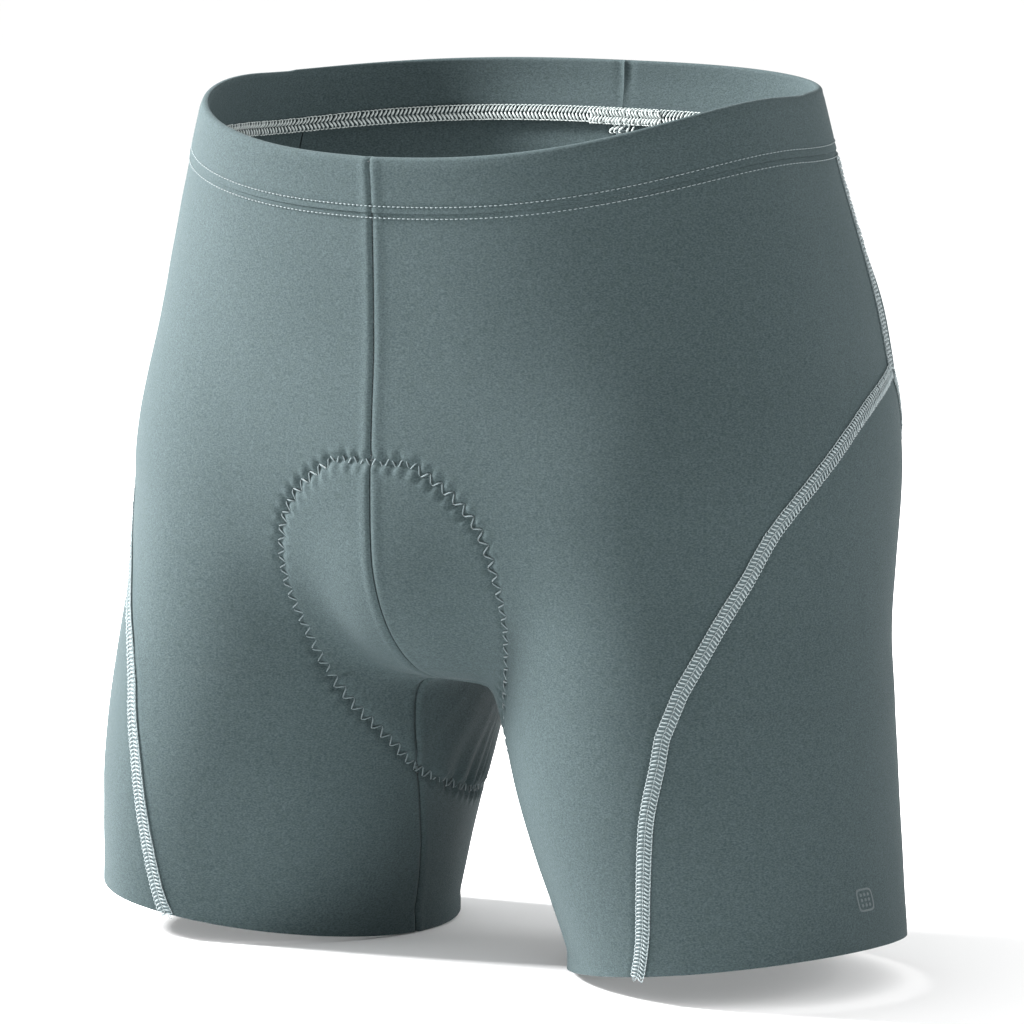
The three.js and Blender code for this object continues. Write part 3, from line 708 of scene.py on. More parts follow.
front_columns = np.stack([spaced(half, e - half, 54, 62) for e in front_edge(body)])
back_columns = np.stack([spaced(n - half, e + half, 54, 58) for e, n in zip(back_edge(body), body["length"])])
has_side = levels <= apex
sides = {key: value[has_side] for key, value in body.items()}
side_columns = np.stack([np.linspace(a + half, b - half, 86) for a, b in zip(front_edge(sides), back_edge(sides))])


def everyday_relief(p, level):
    """Creases and softness that have nothing to do with one seam: the hem's inner ply and slow folds."""
    hem = 0.3 * bell(level - 12.2, 0.9) - 0.2 * bell(level - 10, 1.4) + 0.16 * (level < 12)
    return hem + 0.5 * soft_noise(p, 26, 5) + 0.16 * soft_noise(p, 8, 9)


front_points, front_out = points_at(body, front_columns)
back_points, back_out = points_at(body, back_columns)
side_points, side_out = points_at(sides, side_columns)
near_pad_front = pad_relief(front_points) + keel(front_points)
near_pad_back = pad_relief(back_points)


def front_relief(mirror):
    p = front_points * [-1 if mirror else 1, 1, 1]
    to_edge = front_edge(body)[:, None] - front_columns
    to_side = body["side"][:, None] - front_columns
    crease = 0 if mirror else 0.42 * bell(to_side - 52, 2.6) * bell(levels[:, None] - 262, 60)
    return (near_pad_front + sewn_ridge(front_columns) + beside_flat_seam(to_edge)
            + everyday_relief(p, levels[:, None]) + crease)


def back_relief(mirror):
    p = back_points * [-1 if mirror else 1, 1, 1]
    to_middle = body["length"][:, None] - back_columns
    return (near_pad_back + sewn_ridge(to_middle) + beside_flat_seam(back_columns - back_edge(body)[:, None])
            + everyday_relief(p, levels[:, None]))


def side_relief(mirror):
    p = side_points * [-1 if mirror else 1, 1, 1]
    return (beside_flat_seam(side_columns - front_edge(sides)[:, None])
            + beside_flat_seam(back_edge(sides)[:, None] - side_columns)
            + everyday_relief(p, sides["level"][:, None]))


def lay(points, out, depth):
    return points - out * np.broadcast_to(np.asarray(depth, float), points.shape[:-1])[..., None]


for side_name, mirror in (("left", False), ("right", True)):
    for kind, points, out, relief, columns, rows, flat in (
            ("front", front_points, front_out, front_relief, front_columns, levels, (0.30, 0.38)),
            ("side", side_points, side_out, side_relief, side_columns, sides["level"], (0.25, 0.26)),
            ("back", back_points, back_out, back_relief, back_columns, levels, (0.27, 0.43))):
        rise = relief(mirror)
        cut = np.stack([columns, columns * 0 + rows[:, None]], -1)
        panel = shell(f"{kind}_panel_cloth_{side_name}", lay(points, out, -rise), lay(points, out, fabric - rise),
                      knit, cut=cut, mirror=mirror)
        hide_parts(f"{kind}_panel_{side_name}")
        finish_sheet(panel)

# %% [markdown]
# ## Hems
# Each leg ends in a ply turned up inside and bonded, so only a faint ridge shows outside. It is one ring of
# cloth.

# %% Hems
turnup_levels = np.linspace(0, 12, 7)
turnup = girths(turnup_levels)
ring = np.stack([np.linspace(0, n, 231)[:-1] for n in turnup["length"]])
turnup_points, turnup_out = points_at(turnup, ring)
for side_name, mirror in (("left", False), ("right", True)):
    rise = everyday_relief(turnup_points * [-1 if mirror else 1, 1, 1], turnup_levels[:, None])
    hem = shell(f"hem_turnup_cloth_{side_name}", lay(turnup_points, turnup_out, fabric + gap - rise),
                lay(turnup_points, turnup_out, 2 * fabric + gap - rise), knit, ring=True, mirror=mirror,
                cut=np.stack([ring, ring * 0 + turnup_levels[:, None]], -1))
    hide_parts(f"hem_turnup_{side_name}")
    finish_sheet(hem)

# %% [markdown]
# ## Waistband
# A strip of the same knit is folded over an elastic and sewn on, left and right halves joined at the
# middle. The net runs up the outside, over a half-round fold and down the inside. The band stands a little
# proud of the panels, so its lower edge throws a thin shadow, and the upper row of cover stitching pinches it.

# %% Waistband
fold_level = waist_height - fold_radius
band_levels = np.linspace(waist_height - band_height, fold_level, 22)
band = girths(band_levels)
band_columns = np.stack([np.concatenate([np.linspace(0.05, 16, 14, endpoint=False), np.linspace(16, n - 12, 190),
                                         np.linspace(n - 12, n - 0.05, 11)[1:]]) for n in band["length"]])
band_points, band_out = points_at(band, band_columns)
upper_row = waist_height - band_height + 4 - 0.8
lower_row = waist_height - band_height - 1.6 - 0.8


def band_relief(mirror):
    level = band_levels[:, None]
    p = band_points * [-1 if mirror else 1, 1, 1]
    ripple = np.sin(2 * np.pi * band_columns / 4.6) * bell(level - upper_row, 2.0) * 0.08
    filled = 0.45 * np.clip((fold_level - level) / 3, 0, 1)
    middle = sewn_ridge(band_columns) + sewn_ridge(band["length"][:, None] - band_columns)
    return keel(p) + filled + middle + ripple - 0.3 * bell(level - upper_row, 0.9) + 0.25 * soft_noise(p, 30, 5)


for side_name, mirror in (("left", False), ("right", True)):
    rise = band_relief(mirror)
    outer = lay(band_points, band_out, -rise)
    up = unit(outer[-1] - outer[-4])
    centre = lay(band_points[-1], band_out[-1], fold_radius - rise[-1])
    turns = np.linspace(0, np.pi, 12)[1:-1, None, None]
    turned = np.cos(turns) * band_out[-1] + np.sin(turns) * up
    inner_rise = 0.15 * soft_noise(band_points, 22, 4)
    inner_depth = 2 * fold_radius - rise[-1] * np.linspace(0, 1, 22)[:, None] - inner_rise
    inner = lay(band_points, band_out, inner_depth)[::-1]
    outer_face = np.concatenate([outer, centre + turned * fold_radius, inner])
    thick = np.concatenate([lay(outer, band_out, fabric), centre + turned * (fold_radius - fabric),
                            lay(inner, -band_out[::-1], fabric)])
    run = np.r_[0, np.cumsum(np.linalg.norm(np.diff(outer_face[:, 40], axis=0), axis=1))]
    cut = np.stack([np.broadcast_to(band_columns[0], outer_face.shape[:2]),
                    np.broadcast_to(run[:, None], outer_face.shape[:2])], -1)
    casing = shell(f"waistband_cloth_{side_name}", outer_face, thick, knit, cut=cut, mirror=mirror)
    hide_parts(f"waistband_casing_{side_name}")
    finish_sheet(casing)

# the elastic is one ring between the two plies; the net's mirror image, laid in reverse, closes it
elastic_rows, but_the_ends = slice(2, None), slice(1, -1)
elastic_front, elastic_back = 1.15, 2.25
half_rings = [net[elastic_rows, but_the_ends] for net in (band_points, band_out)]
ring_points, ring_out = (np.concatenate([net, (net * [-1, 1, 1])[:, ::-1]], 1) for net in half_rings)
waist_elastic = shell("waist_elastic_core", lay(ring_points, ring_out, elastic_front - keel(ring_points)),
                      lay(ring_points, ring_out, elastic_back - keel(ring_points)), elastic, ring=True)
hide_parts("waist_elastic")
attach(waist_elastic, "root")


# %% [markdown]
# ## Rows of stitching
# A machine repeats one small shape of thread along a path. Modelling each stitch by hand would take
# thousands of copies, and an array modifier can't follow a surface. So each path is an edge chain that
# knows which way is out of the cloth, and one Geometry Nodes tree sets a stitch at every step, turned to
# the path and to the cloth, with a little looseness from a fixed seed.

# %% The stitching tree
def stitching_tree():
    group = bpy.data.node_groups.new("row_of_stitches", "GeometryNodeTree")
    sockets = (("Geometry", "Geometry"), ("Stitch", "Object"), ("Pitch", "Float"), ("Looseness", "Float"),
               ("Seed", "Int"), ("Thread", "Material"))
    for name, kind in sockets:
        group.interface.new_socket(name=name, in_out="INPUT", socket_type=f"NodeSocket{kind}")
    group.interface.new_socket(name="Geometry", in_out="OUTPUT", socket_type="NodeSocketGeometry")
    tree = Tree(group.nodes, group.links)
    given = tree.node("NodeGroupInput")
    path = tree.node("GeometryNodeMeshToCurve", {}, {"Mesh": given["Geometry"]})["Curve"]
    steps = tree.node("GeometryNodeResampleCurve", {"mode": "LENGTH"},
                      {"Curve": path, "Length": given["Pitch"]})["Curve"]
    out = tree.node("GeometryNodeInputNamedAttribute", {"data_type": "FLOAT_VECTOR"}, {"Name": "out"})["Attribute"]
    along = tree.node("GeometryNodeInputTangent")["Tangent"]
    turn = tree.node("FunctionNodeAxesToRotation", {"primary_axis": "Z", "secondary_axis": "Y"},
                     {"Primary Axis": out, "Secondary Axis": along})["Rotation"]
    wander = tree.node("FunctionNodeRandomValue", {"data_type": "FLOAT_VECTOR"}, {"Seed": given["Seed"]})
    wander.made.inputs[0].default_value = (-1, -1, -1)
    wander.made.inputs[1].default_value = (1, 1, 1)
    tilt = tree.node("ShaderNodeVectorMath", {"operation": "SCALE"},
                     {"Vector": Wire(tree, wander.made.outputs[0]), "Scale": given["Looseness"]})["Vector"]
    turned = tree.node("FunctionNodeRotateRotation", {"rotation_space": "LOCAL"},
                       {"Rotation": turn, "Rotate By": tilt})
    stitch = tree.node("GeometryNodeObjectInfo", {}, {"Object": given["Stitch"], "As Instance": True})["Geometry"]
    sewn = tree.node("GeometryNodeInstanceOnPoints", {},
                     {"Points": steps, "Instance": stitch, "Rotation": turned["Rotation"]})["Instances"]
    real = tree.node("GeometryNodeRealizeInstances", {}, {"Geometry": sewn})["Geometry"]
    done = tree.node("GeometryNodeSetMaterial", {}, {"Geometry": real, "Material": given["Thread"]})["Geometry"]
    tree.node("NodeGroupOutput", {}, {"Geometry": done})
    return group


stitching = stitching_tree()
stitching_input = {item.name: item.identifier for item in stitching.interface.items_tree
                   if item.item_type == "SOCKET" and item.in_out == "INPUT"}


# %% One stitch: a few short strands of thread
def strand(points, radius, corners=5, taper=0.55):
    """A short tube through points in millimetres, thinner at its ends: its points and faces."""
    p = np.asarray(points, float)
    along = unit(np.gradient(p, axis=0))
    across = unit(np.cross(along, np.array([0.05, 0.02, 1.0])))
    over = np.cross(across, along)
    size = radius * np.r_[taper, np.ones(len(p) - 2), taper]
    turn = np.linspace(0, 2 * np.pi, corners, endpoint=False)
    rings = (p[:, None] + across[:, None] * (np.cos(turn)[:, None] * size[:, None, None])
             + over[:, None] * (np.sin(turn)[:, None] * size[:, None, None]))
    net = np.arange(len(p) * corners).reshape(len(p), corners)
    net = np.concatenate([net, net[:, :1]], 1)
    corners = np.stack([net[:-1, :-1], net[:-1, 1:], net[1:, 1:], net[1:, :-1]], -1)
    faces = [tuple(f) for f in corners.reshape(-1, 4)]
    faces += [tuple(net[0, :-1][::-1]), tuple(net[-1, :-1])]
    return rings.reshape(-1, 3), faces


def stitch_shape(name, strands):
    points, faces = [], []
    for p, f in strands:
        faces += [tuple(int(i) + len(points) for i in face) for face in f]
        points += [tuple(v / 1000) for v in p]
    mesh = bpy.data.meshes.new(name)
    mesh.from_pydata(points, [], faces)
    mesh.shade_smooth()
    made = bpy.data.objects.new(name, mesh)
    bpy.context.collection.objects.link(made)
    print(f"stitch {name}: {len(faces)} faces")
    return made


def sew(name, path, out, stitch, pitch, thread, seed=1, looseness=0.06, closed=False):
    """Sets a stitch every pitch millimetres along a path of points on the form, and returns it as a plain mesh."""
    mesh = bpy.data.meshes.new(name)
    count = len(path)
    edges = [(i, i + 1) for i in range(count - 1)] + ([(count - 1, 0)] if closed else [])
    mesh.from_pydata(metres(path).tolist(), edges, [])
    outward_ways = mesh.attributes.new("out", "FLOAT_VECTOR", "POINT")
    outward_ways.data.foreach_set("vector", unit(out).astype(np.float32).ravel())
    row = bpy.data.objects.new(name, mesh)
    bpy.context.collection.objects.link(row)
    step = row.modifiers.new("stitching", "NODES")
    step.node_group = stitching
    for key, value in (("Stitch", stitch), ("Pitch", pitch / 1000), ("Looseness", looseness), ("Seed", seed),
                       ("Thread", thread)):
        step[stitching_input[key]] = value
    sewn = bpy.data.meshes.new_from_object(row.evaluated_get(bpy.context.evaluated_depsgraph_get()))
    row.modifiers.clear()
    row.data = sewn
    bpy.data.meshes.remove(mesh)
    for layer in [a.name for a in sewn.attributes if a.name == "out"]:
        sewn.attributes.remove(sewn.attributes[layer])
    print(f"{name}: {len(sewn.polygons)} faces")
    return row


def join(name, *parts):
    """Joins finished meshes into one piece; each keeps its own finish."""
    bpy.ops.object.select_all(action="DESELECT")
    for part in parts:
        part.select_set(True)
    bpy.context.view_layer.objects.active = parts[0]
    bpy.ops.object.join()
    parts[0].name = name
    return parts[0]


def settle(piece, node):
    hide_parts(node)
    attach(piece, "root")


# %% [markdown]
# ### Flat seams
# A flatlock machine lays the two cloth edges side by side and covers them with a ladder of thread about 7
# mm wide: slanting rungs from both sides that meet in a chain down the middle. The rungs are stitches, and
# a thin woven ground under them stands for the finer threads.

# %% Flat seam stitches
rung = flat_seam_half - 0.15
flatlock = stitch_shape("flatlock", [
    strand([(-rung, -0.75, 0.0), (-2.2, -0.45, 0.42), (-1.2, -0.05, 0.42), (-0.25, 0.35, 0.2)], 0.36),
    strand([(rung, -0.75, 0.0), (2.2, -0.45, 0.42), (1.2, -0.05, 0.42), (0.25, 0.35, 0.2)], 0.36),
    strand([(-rung, -0.85, 0.05), (-rung - 0.1, 0, 0.35), (-rung, 0.85, 0.05)], 0.26),
    strand([(rung, -0.85, 0.05), (rung + 0.1, 0, 0.35), (rung, 0.85, 0.05)], 0.26),
    strand([(0, -0.9, 0.25), (0.12, 0, 0.5), (0, 0.9, 0.25)], 0.24)])
flat_pitch = 1.8
frayed = [((-2.4, -0.6), 0.5), ((-0.9, 0.3), -0.3), ((0.8, -0.2), 0.7), ((2.3, 0.5), -0.6)]


def seam_bed(girth, distance):
    """A strip of net across a seam, and which way is out."""
    columns = distance[:, None] + np.linspace(-flat_seam_half, flat_seam_half, 9)
    return points_at(girth, columns)


def flat_seam(name, node, girth, distance, mirror, seed, hem=False):
    flip = np.array([-1 if mirror else 1, 1, 1])
    points, out = seam_bed(girth, distance)
    rise = everyday_relief(points * flip, girth["level"][:, None])
    top = rise + 0.42 - 0.1 * np.abs(np.linspace(-1, 1, 9))**4
    bed = shell(name + "_ground", lay(points, out, -top), lay(points, out, -rise + 0.05), seam_ground,
                mirror=mirror)
    line = lay(points, out, -top)[:, 4] * flip
    rungs = sew(name + "_rungs", line, out[:, 4] * flip, flatlock, flat_pitch, pale_thread, seed)
    parts = [bed, rungs]
    if hem:
        side, ahead, face = (points[0, -1] - points[0, 0]), points[0, 4] - points[1, 4], out[0, 4]
        side, ahead = unit(side), unit(ahead)
        ends = [strand([(a, 1.0, 0.3), (a + 0.3 * b, -0.9, 0.5), (a + b, -2.1, 0.2)], 0.2) for (a, _), b in frayed]
        shape = stitch_shape(name + "_ends", ends)
        basis = np.stack([side * flip, -ahead * flip, face * flip], 1)
        spot = metres(points[0, 4] * flip)
        shape.data.transform(Matrix.Translation(spot) @ Matrix(basis.tolist()).to_4x4())
        if mirror:
            shape.data.flip_normals()
        shape.data.materials.append(pale_thread)
        parts.append(shape)
    piece = join(name, *parts)
    settle(piece, node)
    return piece


leg_rows = np.concatenate([np.arange(0, low, 3.0), np.arange(high, apex, 3.0), [apex]])
legs = girths(leg_rows)
below = {key: value[:-1] for key, value in legs.items()}
hip_rows = np.linspace(apex + 1.0, waist_height - band_height - 3.3, 36)
hips = girths(hip_rows)
for side_name, mirror in (("left", False), ("right", True)):
    flat_seam(f"front_thigh_flatlock_{side_name}", f"front_thigh_seam_{side_name}", legs,
              seam_distance(legs, front_seam), mirror, 11, hem=True)
    flat_seam(f"back_thigh_flatlock_{side_name}", f"back_thigh_seam_{side_name}", below,
              seam_distance(below, back_seam), mirror, 12, hem=True)
    flat_seam(f"hip_flatlock_{side_name}", f"hip_seam_{side_name}", hips,
              seam_distance(hips, hip_seam), mirror, 13)

# %% [markdown]
# ### Cover stitching and the looped chain
# One machine sews both: two needles leave two rows of small pale dashes outside, and its looper lays a
# herringbone chain between them inside, over the band's raw edge. Each row is a closed path round the
# waist.

# %% Waist stitching
dash = stitch_shape("dash", [
    strand([(0, -0.85, -0.25), (0.05, -0.45, 0.2), (0, 0.45, 0.2), (-0.05, 0.85, -0.25)], 0.22)])
herringbone = stitch_shape("herringbone", [
    strand([(-3.3, -0.9, 0.1), (-2.2, -0.6, 0.55), (-0.9, 0.35, 0.5), (-0.1, 0.95, 0.2)], 0.5),
    strand([(3.1, -0.9, 0.0), (2.0, -0.6, 0.45), (0.9, 0.2, 0.45), (0.1, 0.8, 0.2)], 0.48),
    strand([(-3.3, -1.0, 0.2), (-3.45, 0, 0.5), (-3.3, 1.0, 0.2)], 0.27),
    strand([(3.1, -1.0, 0.1), (3.3, 0, 0.4), (3.1, 1.0, 0.1)], 0.25)])


def round_the_waist(level, depth, relief=0.0):
    """A closed path round the waist at one level, this deep inside the form."""
    line = girths([level])
    distance = np.linspace(0, line["length"][0], 420)[None]
    p, n = points_at(line, distance)
    p, n = lay(p, n, depth - relief - keel(p))[0], n[0]
    return np.concatenate([p, p[-2:0:-1] * [-1, 1, 1]]), np.concatenate([n, n[-2:0:-1] * [-1, 1, 1]])


path, out = round_the_waist(upper_row, 0.0, 0.27)
settle(sew("cover_stitch_upper", path, out, dash, 2.35, cover_thread, 21, closed=True), "waist_coverstitch_upper")
path, out = round_the_waist(lower_row, 0.0, 0.12)
settle(sew("cover_stitch_lower", path, out, dash, 2.35, cover_thread, 22, closed=True), "waist_coverstitch_lower")
chain_level = waist_height - band_height + 1.1
path, out = round_the_waist(chain_level, 2 * fold_radius + 0.35)
chain = sew("chain_round", path, -out, herringbone, 1.95, chain_thread, 23, looseness=0.09, closed=True)
behind = path[:, 1] > 0
overlap = behind & (path[:, 0] > -16) & (path[:, 0] < 22)
order = np.argsort(path[overlap][:, 0])
second = sew("chain_overlap", path[overlap][order] - out[overlap][order] * 0.9 - [0, 0, 0.9], -out[overlap][order],
             herringbone, 1.7, chain_thread, 24, looseness=0.16)
tail = behind & (path[:, 0] > -4) & (path[:, 0] < 7)
order = np.argsort(path[tail][:, 0])
ends = sew("chain_tail", path[tail][order] - out[tail][order] * 0.5 - [0, 0, 5.0], -out[tail][order],
           herringbone, 2.6, chain_thread, 25, looseness=0.5)
settle(join("looper_chain", chain, second, ends), "waist_looper_chain")

# %% [markdown]
# ### Overlocks and the middle seams
# Inside, the allowances of the middle seams and inseams are bound by an overlock: loops of dark thread
# across a narrow strip. Outside, the middle seams show as a groove with the thread just visible across it; the
# bars across it are painted nearly black, a painted shade for the deep gap between the panels.

# %% Overlocks inside and bars in the grooves
overlock = stitch_shape("overlock", [
    strand([(-3.3, -0.8, 0.0), (-1.6, -0.5, 0.4), (1.6, 0.1, 0.4), (3.3, 0.6, 0.0)], 0.27),
    strand([(3.3, 0.6, 0.0), (1.7, 0.75, 0.25), (0.2, 1.0, 0.1)], 0.22)])
groove_bar = stitch_shape("groove_bar", [strand([(-0.75, -0.25, -0.15), (0, 0, 0.2), (0.75, 0.25, -0.15)], 0.24)])


def middle_line(girth, back):
    distance = (girth["length"] if back else girth["length"] * 0)[:, None]
    points, out = points_at(girth, distance)
    return lay(points, out, -keel(points))[:, 0], out[:, 0]


trunk = girths(np.arange(crotch[2] + 1.4, panel_top, 2.5))
band_middle = girths(np.linspace(waist_height - band_height + 0.5, fold_level, 14))
for name, back in (("centre_front", False), ("centre_back", True)):
    line, out = middle_line(trunk, back)
    strip = np.stack([line + [w, 0, 0] for w in (-3.3, -1.1, 1.1, 3.3)], 1)
    outs = np.repeat(out[:, None], 4, 1)
    ground = shell(name + "_strip", lay(strip, outs, 1.45), lay(strip, outs, 2.0), tonal_thread)
    loops = sew(name + "_loops", lay(line, out, 2.05), -out, overlock, 2.1, tonal_thread, 31)
    band_line, band_o = middle_line(band_middle, back)
    # the bars across the groove are painted nearly black: painted shade of the gap between the panels
    bars = sew(name + "_bars", lay(line, out, 0.95), out, groove_bar, 2.2, groove_shade_thread, 32)
    band_bars = sew(name + "_band_bars", lay(band_line, band_o, 0.5), band_o, groove_bar, 2.2, groove_shade_thread, 33)
    settle(join(name + "_overlocking", ground, loops, bars, band_bars), name + "_overlock")

inseam = girths(np.arange(13.5, crotch[2] - 3, 2.5))
for side_name, mirror in (("left", False), ("right", True)):
    flip = np.array([-1 if mirror else 1, 1, 1])
    wrap = inseam["length"][:, None]
    columns = np.array([-3.3, -1.1, 1.1, 3.3])
    points = np.concatenate([points_at(inseam, wrap + columns[None, :2])[0],
                             points_at(inseam, wrap * 0 + columns[None, 2:])[0]], 1)
    outs = outward(points)
    middle, middle_out = points[:, 1:3].mean(1), unit(outs[:, 1:3].mean(1))
    ground = shell(f"inseam_strip_{side_name}", lay(points, outs, 1.45), lay(points, outs, 2.0), tonal_thread,
                   mirror=mirror)
    loops = sew(f"inseam_loops_{side_name}", lay(middle, middle_out, 2.05) * flip, -middle_out * flip,
                overlock, 2.1, tonal_thread, 34)
    # the bars across the inseam groove are painted nearly black: painted shade of the gap between the panels
    bars = sew(f"inseam_bars_{side_name}", lay(middle, middle_out, 0.95) * flip, middle_out * flip,
               groove_bar, 2.2, groove_shade_thread, 35)
    settle(join(f"inseam_overlocking_{side_name}", ground, loops, bars), f"inseam_overlock_{side_name}")

# %% [markdown]
# ### Zigzag round the pad
# A zigzag lets the cloth stretch over the pad. One stitch is a zig and a zag, arched over the cloth between
# the two needle holes, in thread of nearly the cloth's own colour.

# %% Zigzag
reach_side = 2.15
zigzag = stitch_shape("zigzag", [
    strand([(-reach_side, -zig / 2, -0.3), (-1.2, -zig * 0.36, 0.28), (1.2, -zig * 0.14, 0.28),
            (reach_side, 0, -0.3)], 0.33),
    strand([(reach_side, 0, -0.3), (1.2, zig * 0.14, 0.28), (-1.2, zig * 0.36, 0.28),
            (-reach_side, zig / 2, -0.3)], 0.33)])
sunk = lay(zigzag_line, zigzag_out, 0.75 - keel(zigzag_line))
settle(sew("pad_zigzag", sunk, zigzag_out, zigzag, zigzag_length / round(zigzag_length / zig), tonal_thread, 41,
           looseness=0.05, closed=True), "pad_zigzag_stitching")

for pattern in (flatlock, dash, herringbone, overlock, groove_bar, zigzag):
    bpy.data.objects.remove(pattern)

# %% [markdown]
# ## The pad
# The pad lies inside the crotch: a brushed base cloth stitched to the panels, a moulded foam base that
# stops short of its edge, and four raised cushions with channels between them. The base cloth and foam
# follow the pad's own map. Moulded foam swells between its channels, so each cushion is a closed form that
# is blown up a little by a cloth simulation with its seat held fast, and then smoothed once.

# %% Base cloth and foam base
mm_per_degree = 1.9  # along the pad's middle line
pad_rows = np.linspace(-2, 176, 82)
edges = through(pad_rows, pad_outline)
share = np.linspace(-1, 1, 57)
place = edges[:, None] * share
pad_points, pad_out = pad_point(pad_rows[:, None], place)
to_end = np.minimum(pad_rows - pad_rows[0], pad_rows[-1] - pad_rows)[:, None] * mm_per_degree
to_edge = np.minimum(edges[:, None] - np.abs(place), to_end)
backing_depth = 4.2 - 2.1 * bell(to_edge, 6)
backing = shell("pad_base_cloth", lay(pad_points, pad_out, backing_depth),
                lay(pad_points, pad_out, backing_depth + fabric), pad_cloth,
                cut=np.stack([place, place * 0 + pad_rows[:, None] * mm_per_degree], -1))
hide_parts("pad_backing")
finish_sheet(backing)

foam_rows = np.linspace(5.5, 168.5, 90)
foam_edges = through(foam_rows, pad_outline) - 6
foam_place = foam_edges[:, None] * np.linspace(-1, 1, 65)
foam_points, foam_out = pad_point(foam_rows[:, None], foam_place)
inward = np.minimum(foam_edges[:, None] - np.abs(foam_place),
                    np.minimum(foam_rows - foam_rows[0], foam_rows[-1] - foam_rows)[:, None] * mm_per_degree)
foam_start = 5.4
thickness = 0.5 + 3.5 * (1 - np.exp(-inward / 2.4)) + 0.12 * soft_noise(foam_points, 6, 8)
foam = shell("pad_foam_layer", lay(foam_points, foam_out, foam_start),
             lay(foam_points, foam_out, foam_start + thickness), foam_face, crease=75)
settle(foam, "pad_foam_base")
print("foam base faces:", len(foam.data.polygons))

# %% Cushions: a drafted form, blown up by a short cloth simulation
cushion_seat = 9.7


def cushion_form(name, first, last, across):
    """A closed domed form on the pad's map, a little smaller than the cushion becomes."""
    rows = np.linspace(first, last, 34)
    edge = np.maximum(through(rows, pad_outline) - 15, through(rows, pad_outline) / 2)
    inner, outer = across
    columns = inner(edge)[:, None] + (outer(edge) - inner(edge))[:, None] * np.linspace(0, 1, 34)
    points, out = pad_point(rows[:, None], columns)
    a = np.sin(np.pi * np.linspace(0, 1, 34))
    dome = 1.6 + 5.6 * np.sqrt(np.clip(a[:, None] * a[None], 0, 1))**0.8
    return shell(name, lay(points, out, cushion_seat), lay(points, out, cushion_seat + dome), cushion_face,
                 crease=180)


def inflate(piece, cap=2.6):
    """Remesh, press the skin out from inside for 20 frames, cap how far it moves, and smooth once."""
    remesh = piece.modifiers.new("remesh", "REMESH")
    remesh.mode, remesh.voxel_size, remesh.use_smooth_shade = "VOXEL", 0.0021, True
    skin = bpy.data.meshes.new_from_object(piece.evaluated_get(bpy.context.evaluated_depsgraph_get()))
    piece.modifiers.clear()
    piece.data = skin
    count = len(skin.vertices)
    rest = np.empty(count * 3)
    skin.vertices.foreach_get("co", rest)
    rest = rest.reshape(-1, 3)
    depth = -form(rest * 1000 - shift) * 0.95
    freedom = np.clip((depth - cushion_seat - 1.2) / 4, 0, 1)
    held = piece.vertex_groups.new(name="held")
    for i in np.nonzero(freedom < 0.05)[0]:
        held.add([int(i)], 1.0, "REPLACE")
    cloth = piece.modifiers.new("cloth", "CLOTH")
    cloth.settings.use_pressure = True
    cloth.settings.uniform_pressure_force = 4
    cloth.settings.effector_weights.gravity = 0
    cloth.settings.vertex_group_mass = "held"
    cloth.point_cache.frame_start, cloth.point_cache.frame_end = 1, 20
    for frame_number in range(1, 21):
        bpy.context.scene.frame_set(frame_number)
    blown = piece.evaluated_get(bpy.context.evaluated_depsgraph_get()).data
    moved = np.empty(count * 3)
    blown.vertices.foreach_get("co", moved)
    move = moved.reshape(-1, 3) - rest
    piece.modifiers.clear()
    piece.vertex_groups.clear()
    far = np.linalg.norm(move, axis=1, keepdims=True)
    rest = rest + move * np.minimum(1, cap / 1000 * freedom[:, None] / np.maximum(far, 1e-9))
    skin.vertices.foreach_set("co", rest.astype(np.float32).ravel())
    bpy.context.scene.frame_set(1)
    print(f"{piece.name}: {count} points, moved up to {min(far.max() * 1000, cap):.2f} mm")
    smooth = piece.modifiers.new("smooth", "SUBSURF")
    smooth.levels = smooth.render_levels = 1
    piece.data = bpy.data.meshes.new_from_object(piece.evaluated_get(bpy.context.evaluated_depsgraph_get()))
    piece.modifiers.clear()
    piece.data.materials.clear()
    piece.data.materials.append(cushion_face)
    piece.data.shade_smooth()
    return piece


whole = (lambda edge: -edge, lambda edge: edge)
cushions = (
    ("pad_front_cushion", 14, 52, whole),
    ("pad_centre_cushion", 58, 92, whole),
    ("pad_seat_cushion_left", 99, 161, (lambda edge: np.minimum(7, edge / 3), lambda edge: edge)),
    ("pad_seat_cushion_right", 99, 161, (lambda edge: -edge, lambda edge: -np.minimum(7, edge / 3))))
for node, first, last, across in cushions:
    cushion = inflate(cushion_form(node.replace("pad_", "padded_"), first, last, across))
    settle(cushion, node)

# %% [markdown]
# ## Transfer mark
# A small film mark is pressed onto the left leg above the hem. It carries no name: it is a rounded square
# ring round nine dots, drafted flat and then laid on the side panel.

# %% Transfer mark
mark_level, mark_from_side, mark_half = 24.0, -9.5, 5.7


def on_leg(u, v, lift):
    """Points on the left leg, u and v millimetres across and above the mark's middle."""
    u, v = np.broadcast_arrays(u, v)
    flat_u, flat_v = u.ravel(), v.ravel()
    girth = girths(mark_level + np.linspace(-7, 7, 29))
    middle = girth["side"] + mark_from_side
    grid, out = points_at(girth, middle[:, None] + np.linspace(-7, 7, 29))
    grid = lay(grid, out, -lift - everyday_relief(grid, girth["level"][:, None]))
    i, j = (flat_v + 7) * 2, (flat_u + 7) * 2
    a, b = i.astype(int), j.astype(int)
    s, t = (i - a)[:, None], (j - b)[:, None]
    near, far = (grid[a, b + k] * (1 - s) + grid[a + 1, b + k] * s for k in (0, 1))
    p = near * (1 - t) + far * t
    return p.reshape(*u.shape, 3)


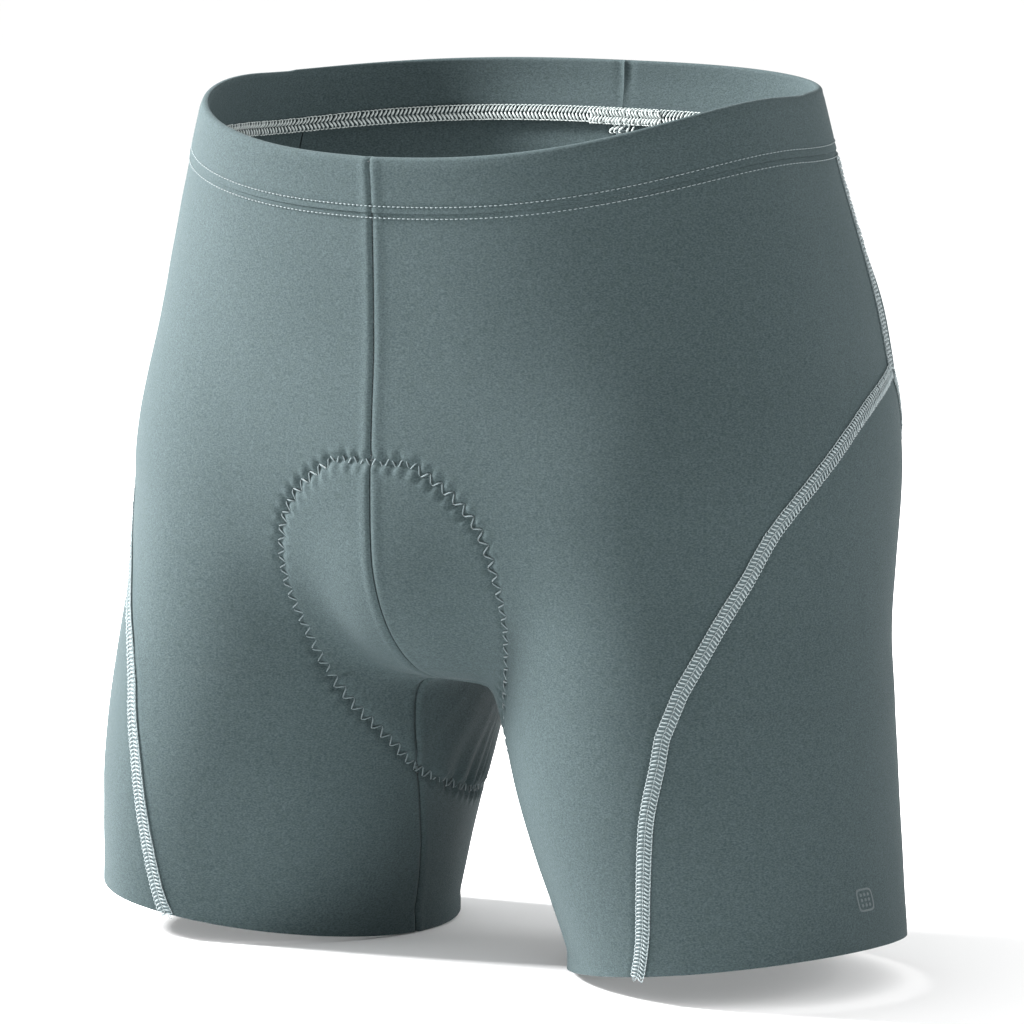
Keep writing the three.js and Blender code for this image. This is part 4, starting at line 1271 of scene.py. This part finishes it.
def ring_piece(name, radii, corner_power, centre=(0, 0), steps=48):
    """A flat ring or dot between two rounded outlines; a power of 2 is a circle, more is a rounded square."""
    turn = np.linspace(0, 2 * np.pi, steps, endpoint=False)
    size = (np.abs(np.cos(turn))**corner_power + np.abs(np.sin(turn))**corner_power)**(-1 / corner_power)
    u = centre[0] + np.array(radii)[:, None] * size * np.cos(turn)
    v = centre[1] + np.array(radii)[:, None] * size * np.sin(turn)
    return shell(name, on_leg(u, v, 0.16), on_leg(u, v, 0.02), film, ring=True)


marks = [ring_piece("mark_ring", [4.75, 5.2, mark_half], 5)]
for across in (-2.6, 0, 2.6):
    for up in (-2.6, 0, 2.6):
        marks.append(ring_piece(f"dot_{across}_{up}".replace("-", "m"), [0.02, 0.5, 0.85], 2, (across, up), 16))
settle(join("transfer_mark", *marks), "leg_transfer_mark")

# %% [markdown]
# ## Floor, light and camera
# A pale floor and a bright sky light the cloth evenly. One large soft lamp low on the wearer's right grazes
# the front, so the seams and the pad's stitching stand out. A long lens far away keeps the legs'
# proportions true.

# %% Floor and light
floor_mesh = bpy.data.meshes.new("floor")
floor_half, floor_level = 30.0, -0.0005
floor_corners = [(x * floor_half, y * floor_half, floor_level) for x, y in ((-1, -1), (1, -1), (1, 1), (-1, 1))]
floor_mesh.from_pydata(floor_corners, [], [(0, 1, 2, 3)])
floor = bpy.data.objects.new("floor", floor_mesh)
bpy.context.collection.objects.link(floor)
paper = finish("pale_floor", **{"Base Color": (0.88, 0.88, 0.88, 1), "Roughness": 0.9,
                                "Specular IOR Level": 0.1})[0]
floor_mesh.materials.append(paper)

world = bpy.data.worlds.new("studio")
bpy.context.scene.world = world
world.use_nodes = True
world.node_tree.nodes["Background"].inputs["Color"].default_value = (1, 1, 1, 1)
world.node_tree.nodes["Background"].inputs["Strength"].default_value = 1.14


def lamp(name, azimuth, elevation, distance, size, watts):
    """A square soft lamp that looks at the middle of the shorts."""
    light = bpy.data.lights.new(name, "AREA")
    light.shape, light.size, light.energy = "SQUARE", size, watts
    thing = bpy.data.objects.new(name, light)
    bpy.context.collection.objects.link(thing)
    a, e = math.radians(azimuth), math.radians(elevation)
    away = Vector((math.sin(a) * math.cos(e), -math.cos(a) * math.cos(e), math.sin(e)))
    thing.location = away * distance + Vector((0, 0, 0.2))
    thing.rotation_euler = away.to_track_quat("Z", "Y").to_euler()


lamp("key", -72, 32, 3.0, 0.8, 520)
lamp("rim", 118, 20, 2.2, 0.8, 18)
# a small glow low inside the waist keeps the inner plies readable
glow = bpy.data.objects.new("glow", bpy.data.lights.new("glow", "POINT"))
glow.data.energy, glow.data.shadow_soft_size = 0.7, 0.04
glow.location = (0.0, 0.02, 0.27)
glow.visible_camera = False
bpy.context.collection.objects.link(glow)

# %% Camera
azimuth, reach_out, height, target_height, roll = math.radians(34.37), 2981.0, 515.72, 182.34, math.radians(0.78)
spot = Vector(metres(np.array([math.sin(azimuth) * reach_out, -math.cos(azimuth) * reach_out, height])))
aim = Vector(metres(np.array([0, 0, target_height])))
back = (spot - aim).normalized()
right = Vector((0, 0, 1)).cross(back).normalized()
above = back.cross(right)
right, above = (right * math.cos(roll) + above * math.sin(roll), above * math.cos(roll) - right * math.sin(roll))
camera = bpy.data.objects.new("camera", bpy.data.cameras.new("camera"))
bpy.context.collection.objects.link(camera)
camera.matrix_world = Matrix.Translation(spot) @ Matrix((right, above, back)).transposed().to_4x4()
camera.data.sensor_width = 36
camera.data.lens = 237.8
camera.data.shift_x, camera.data.shift_y = 0.00125, 0.00217
camera.data.clip_end = 100
bpy.context.scene.camera = camera
bpy.context.scene.view_settings.view_transform = "Standard"
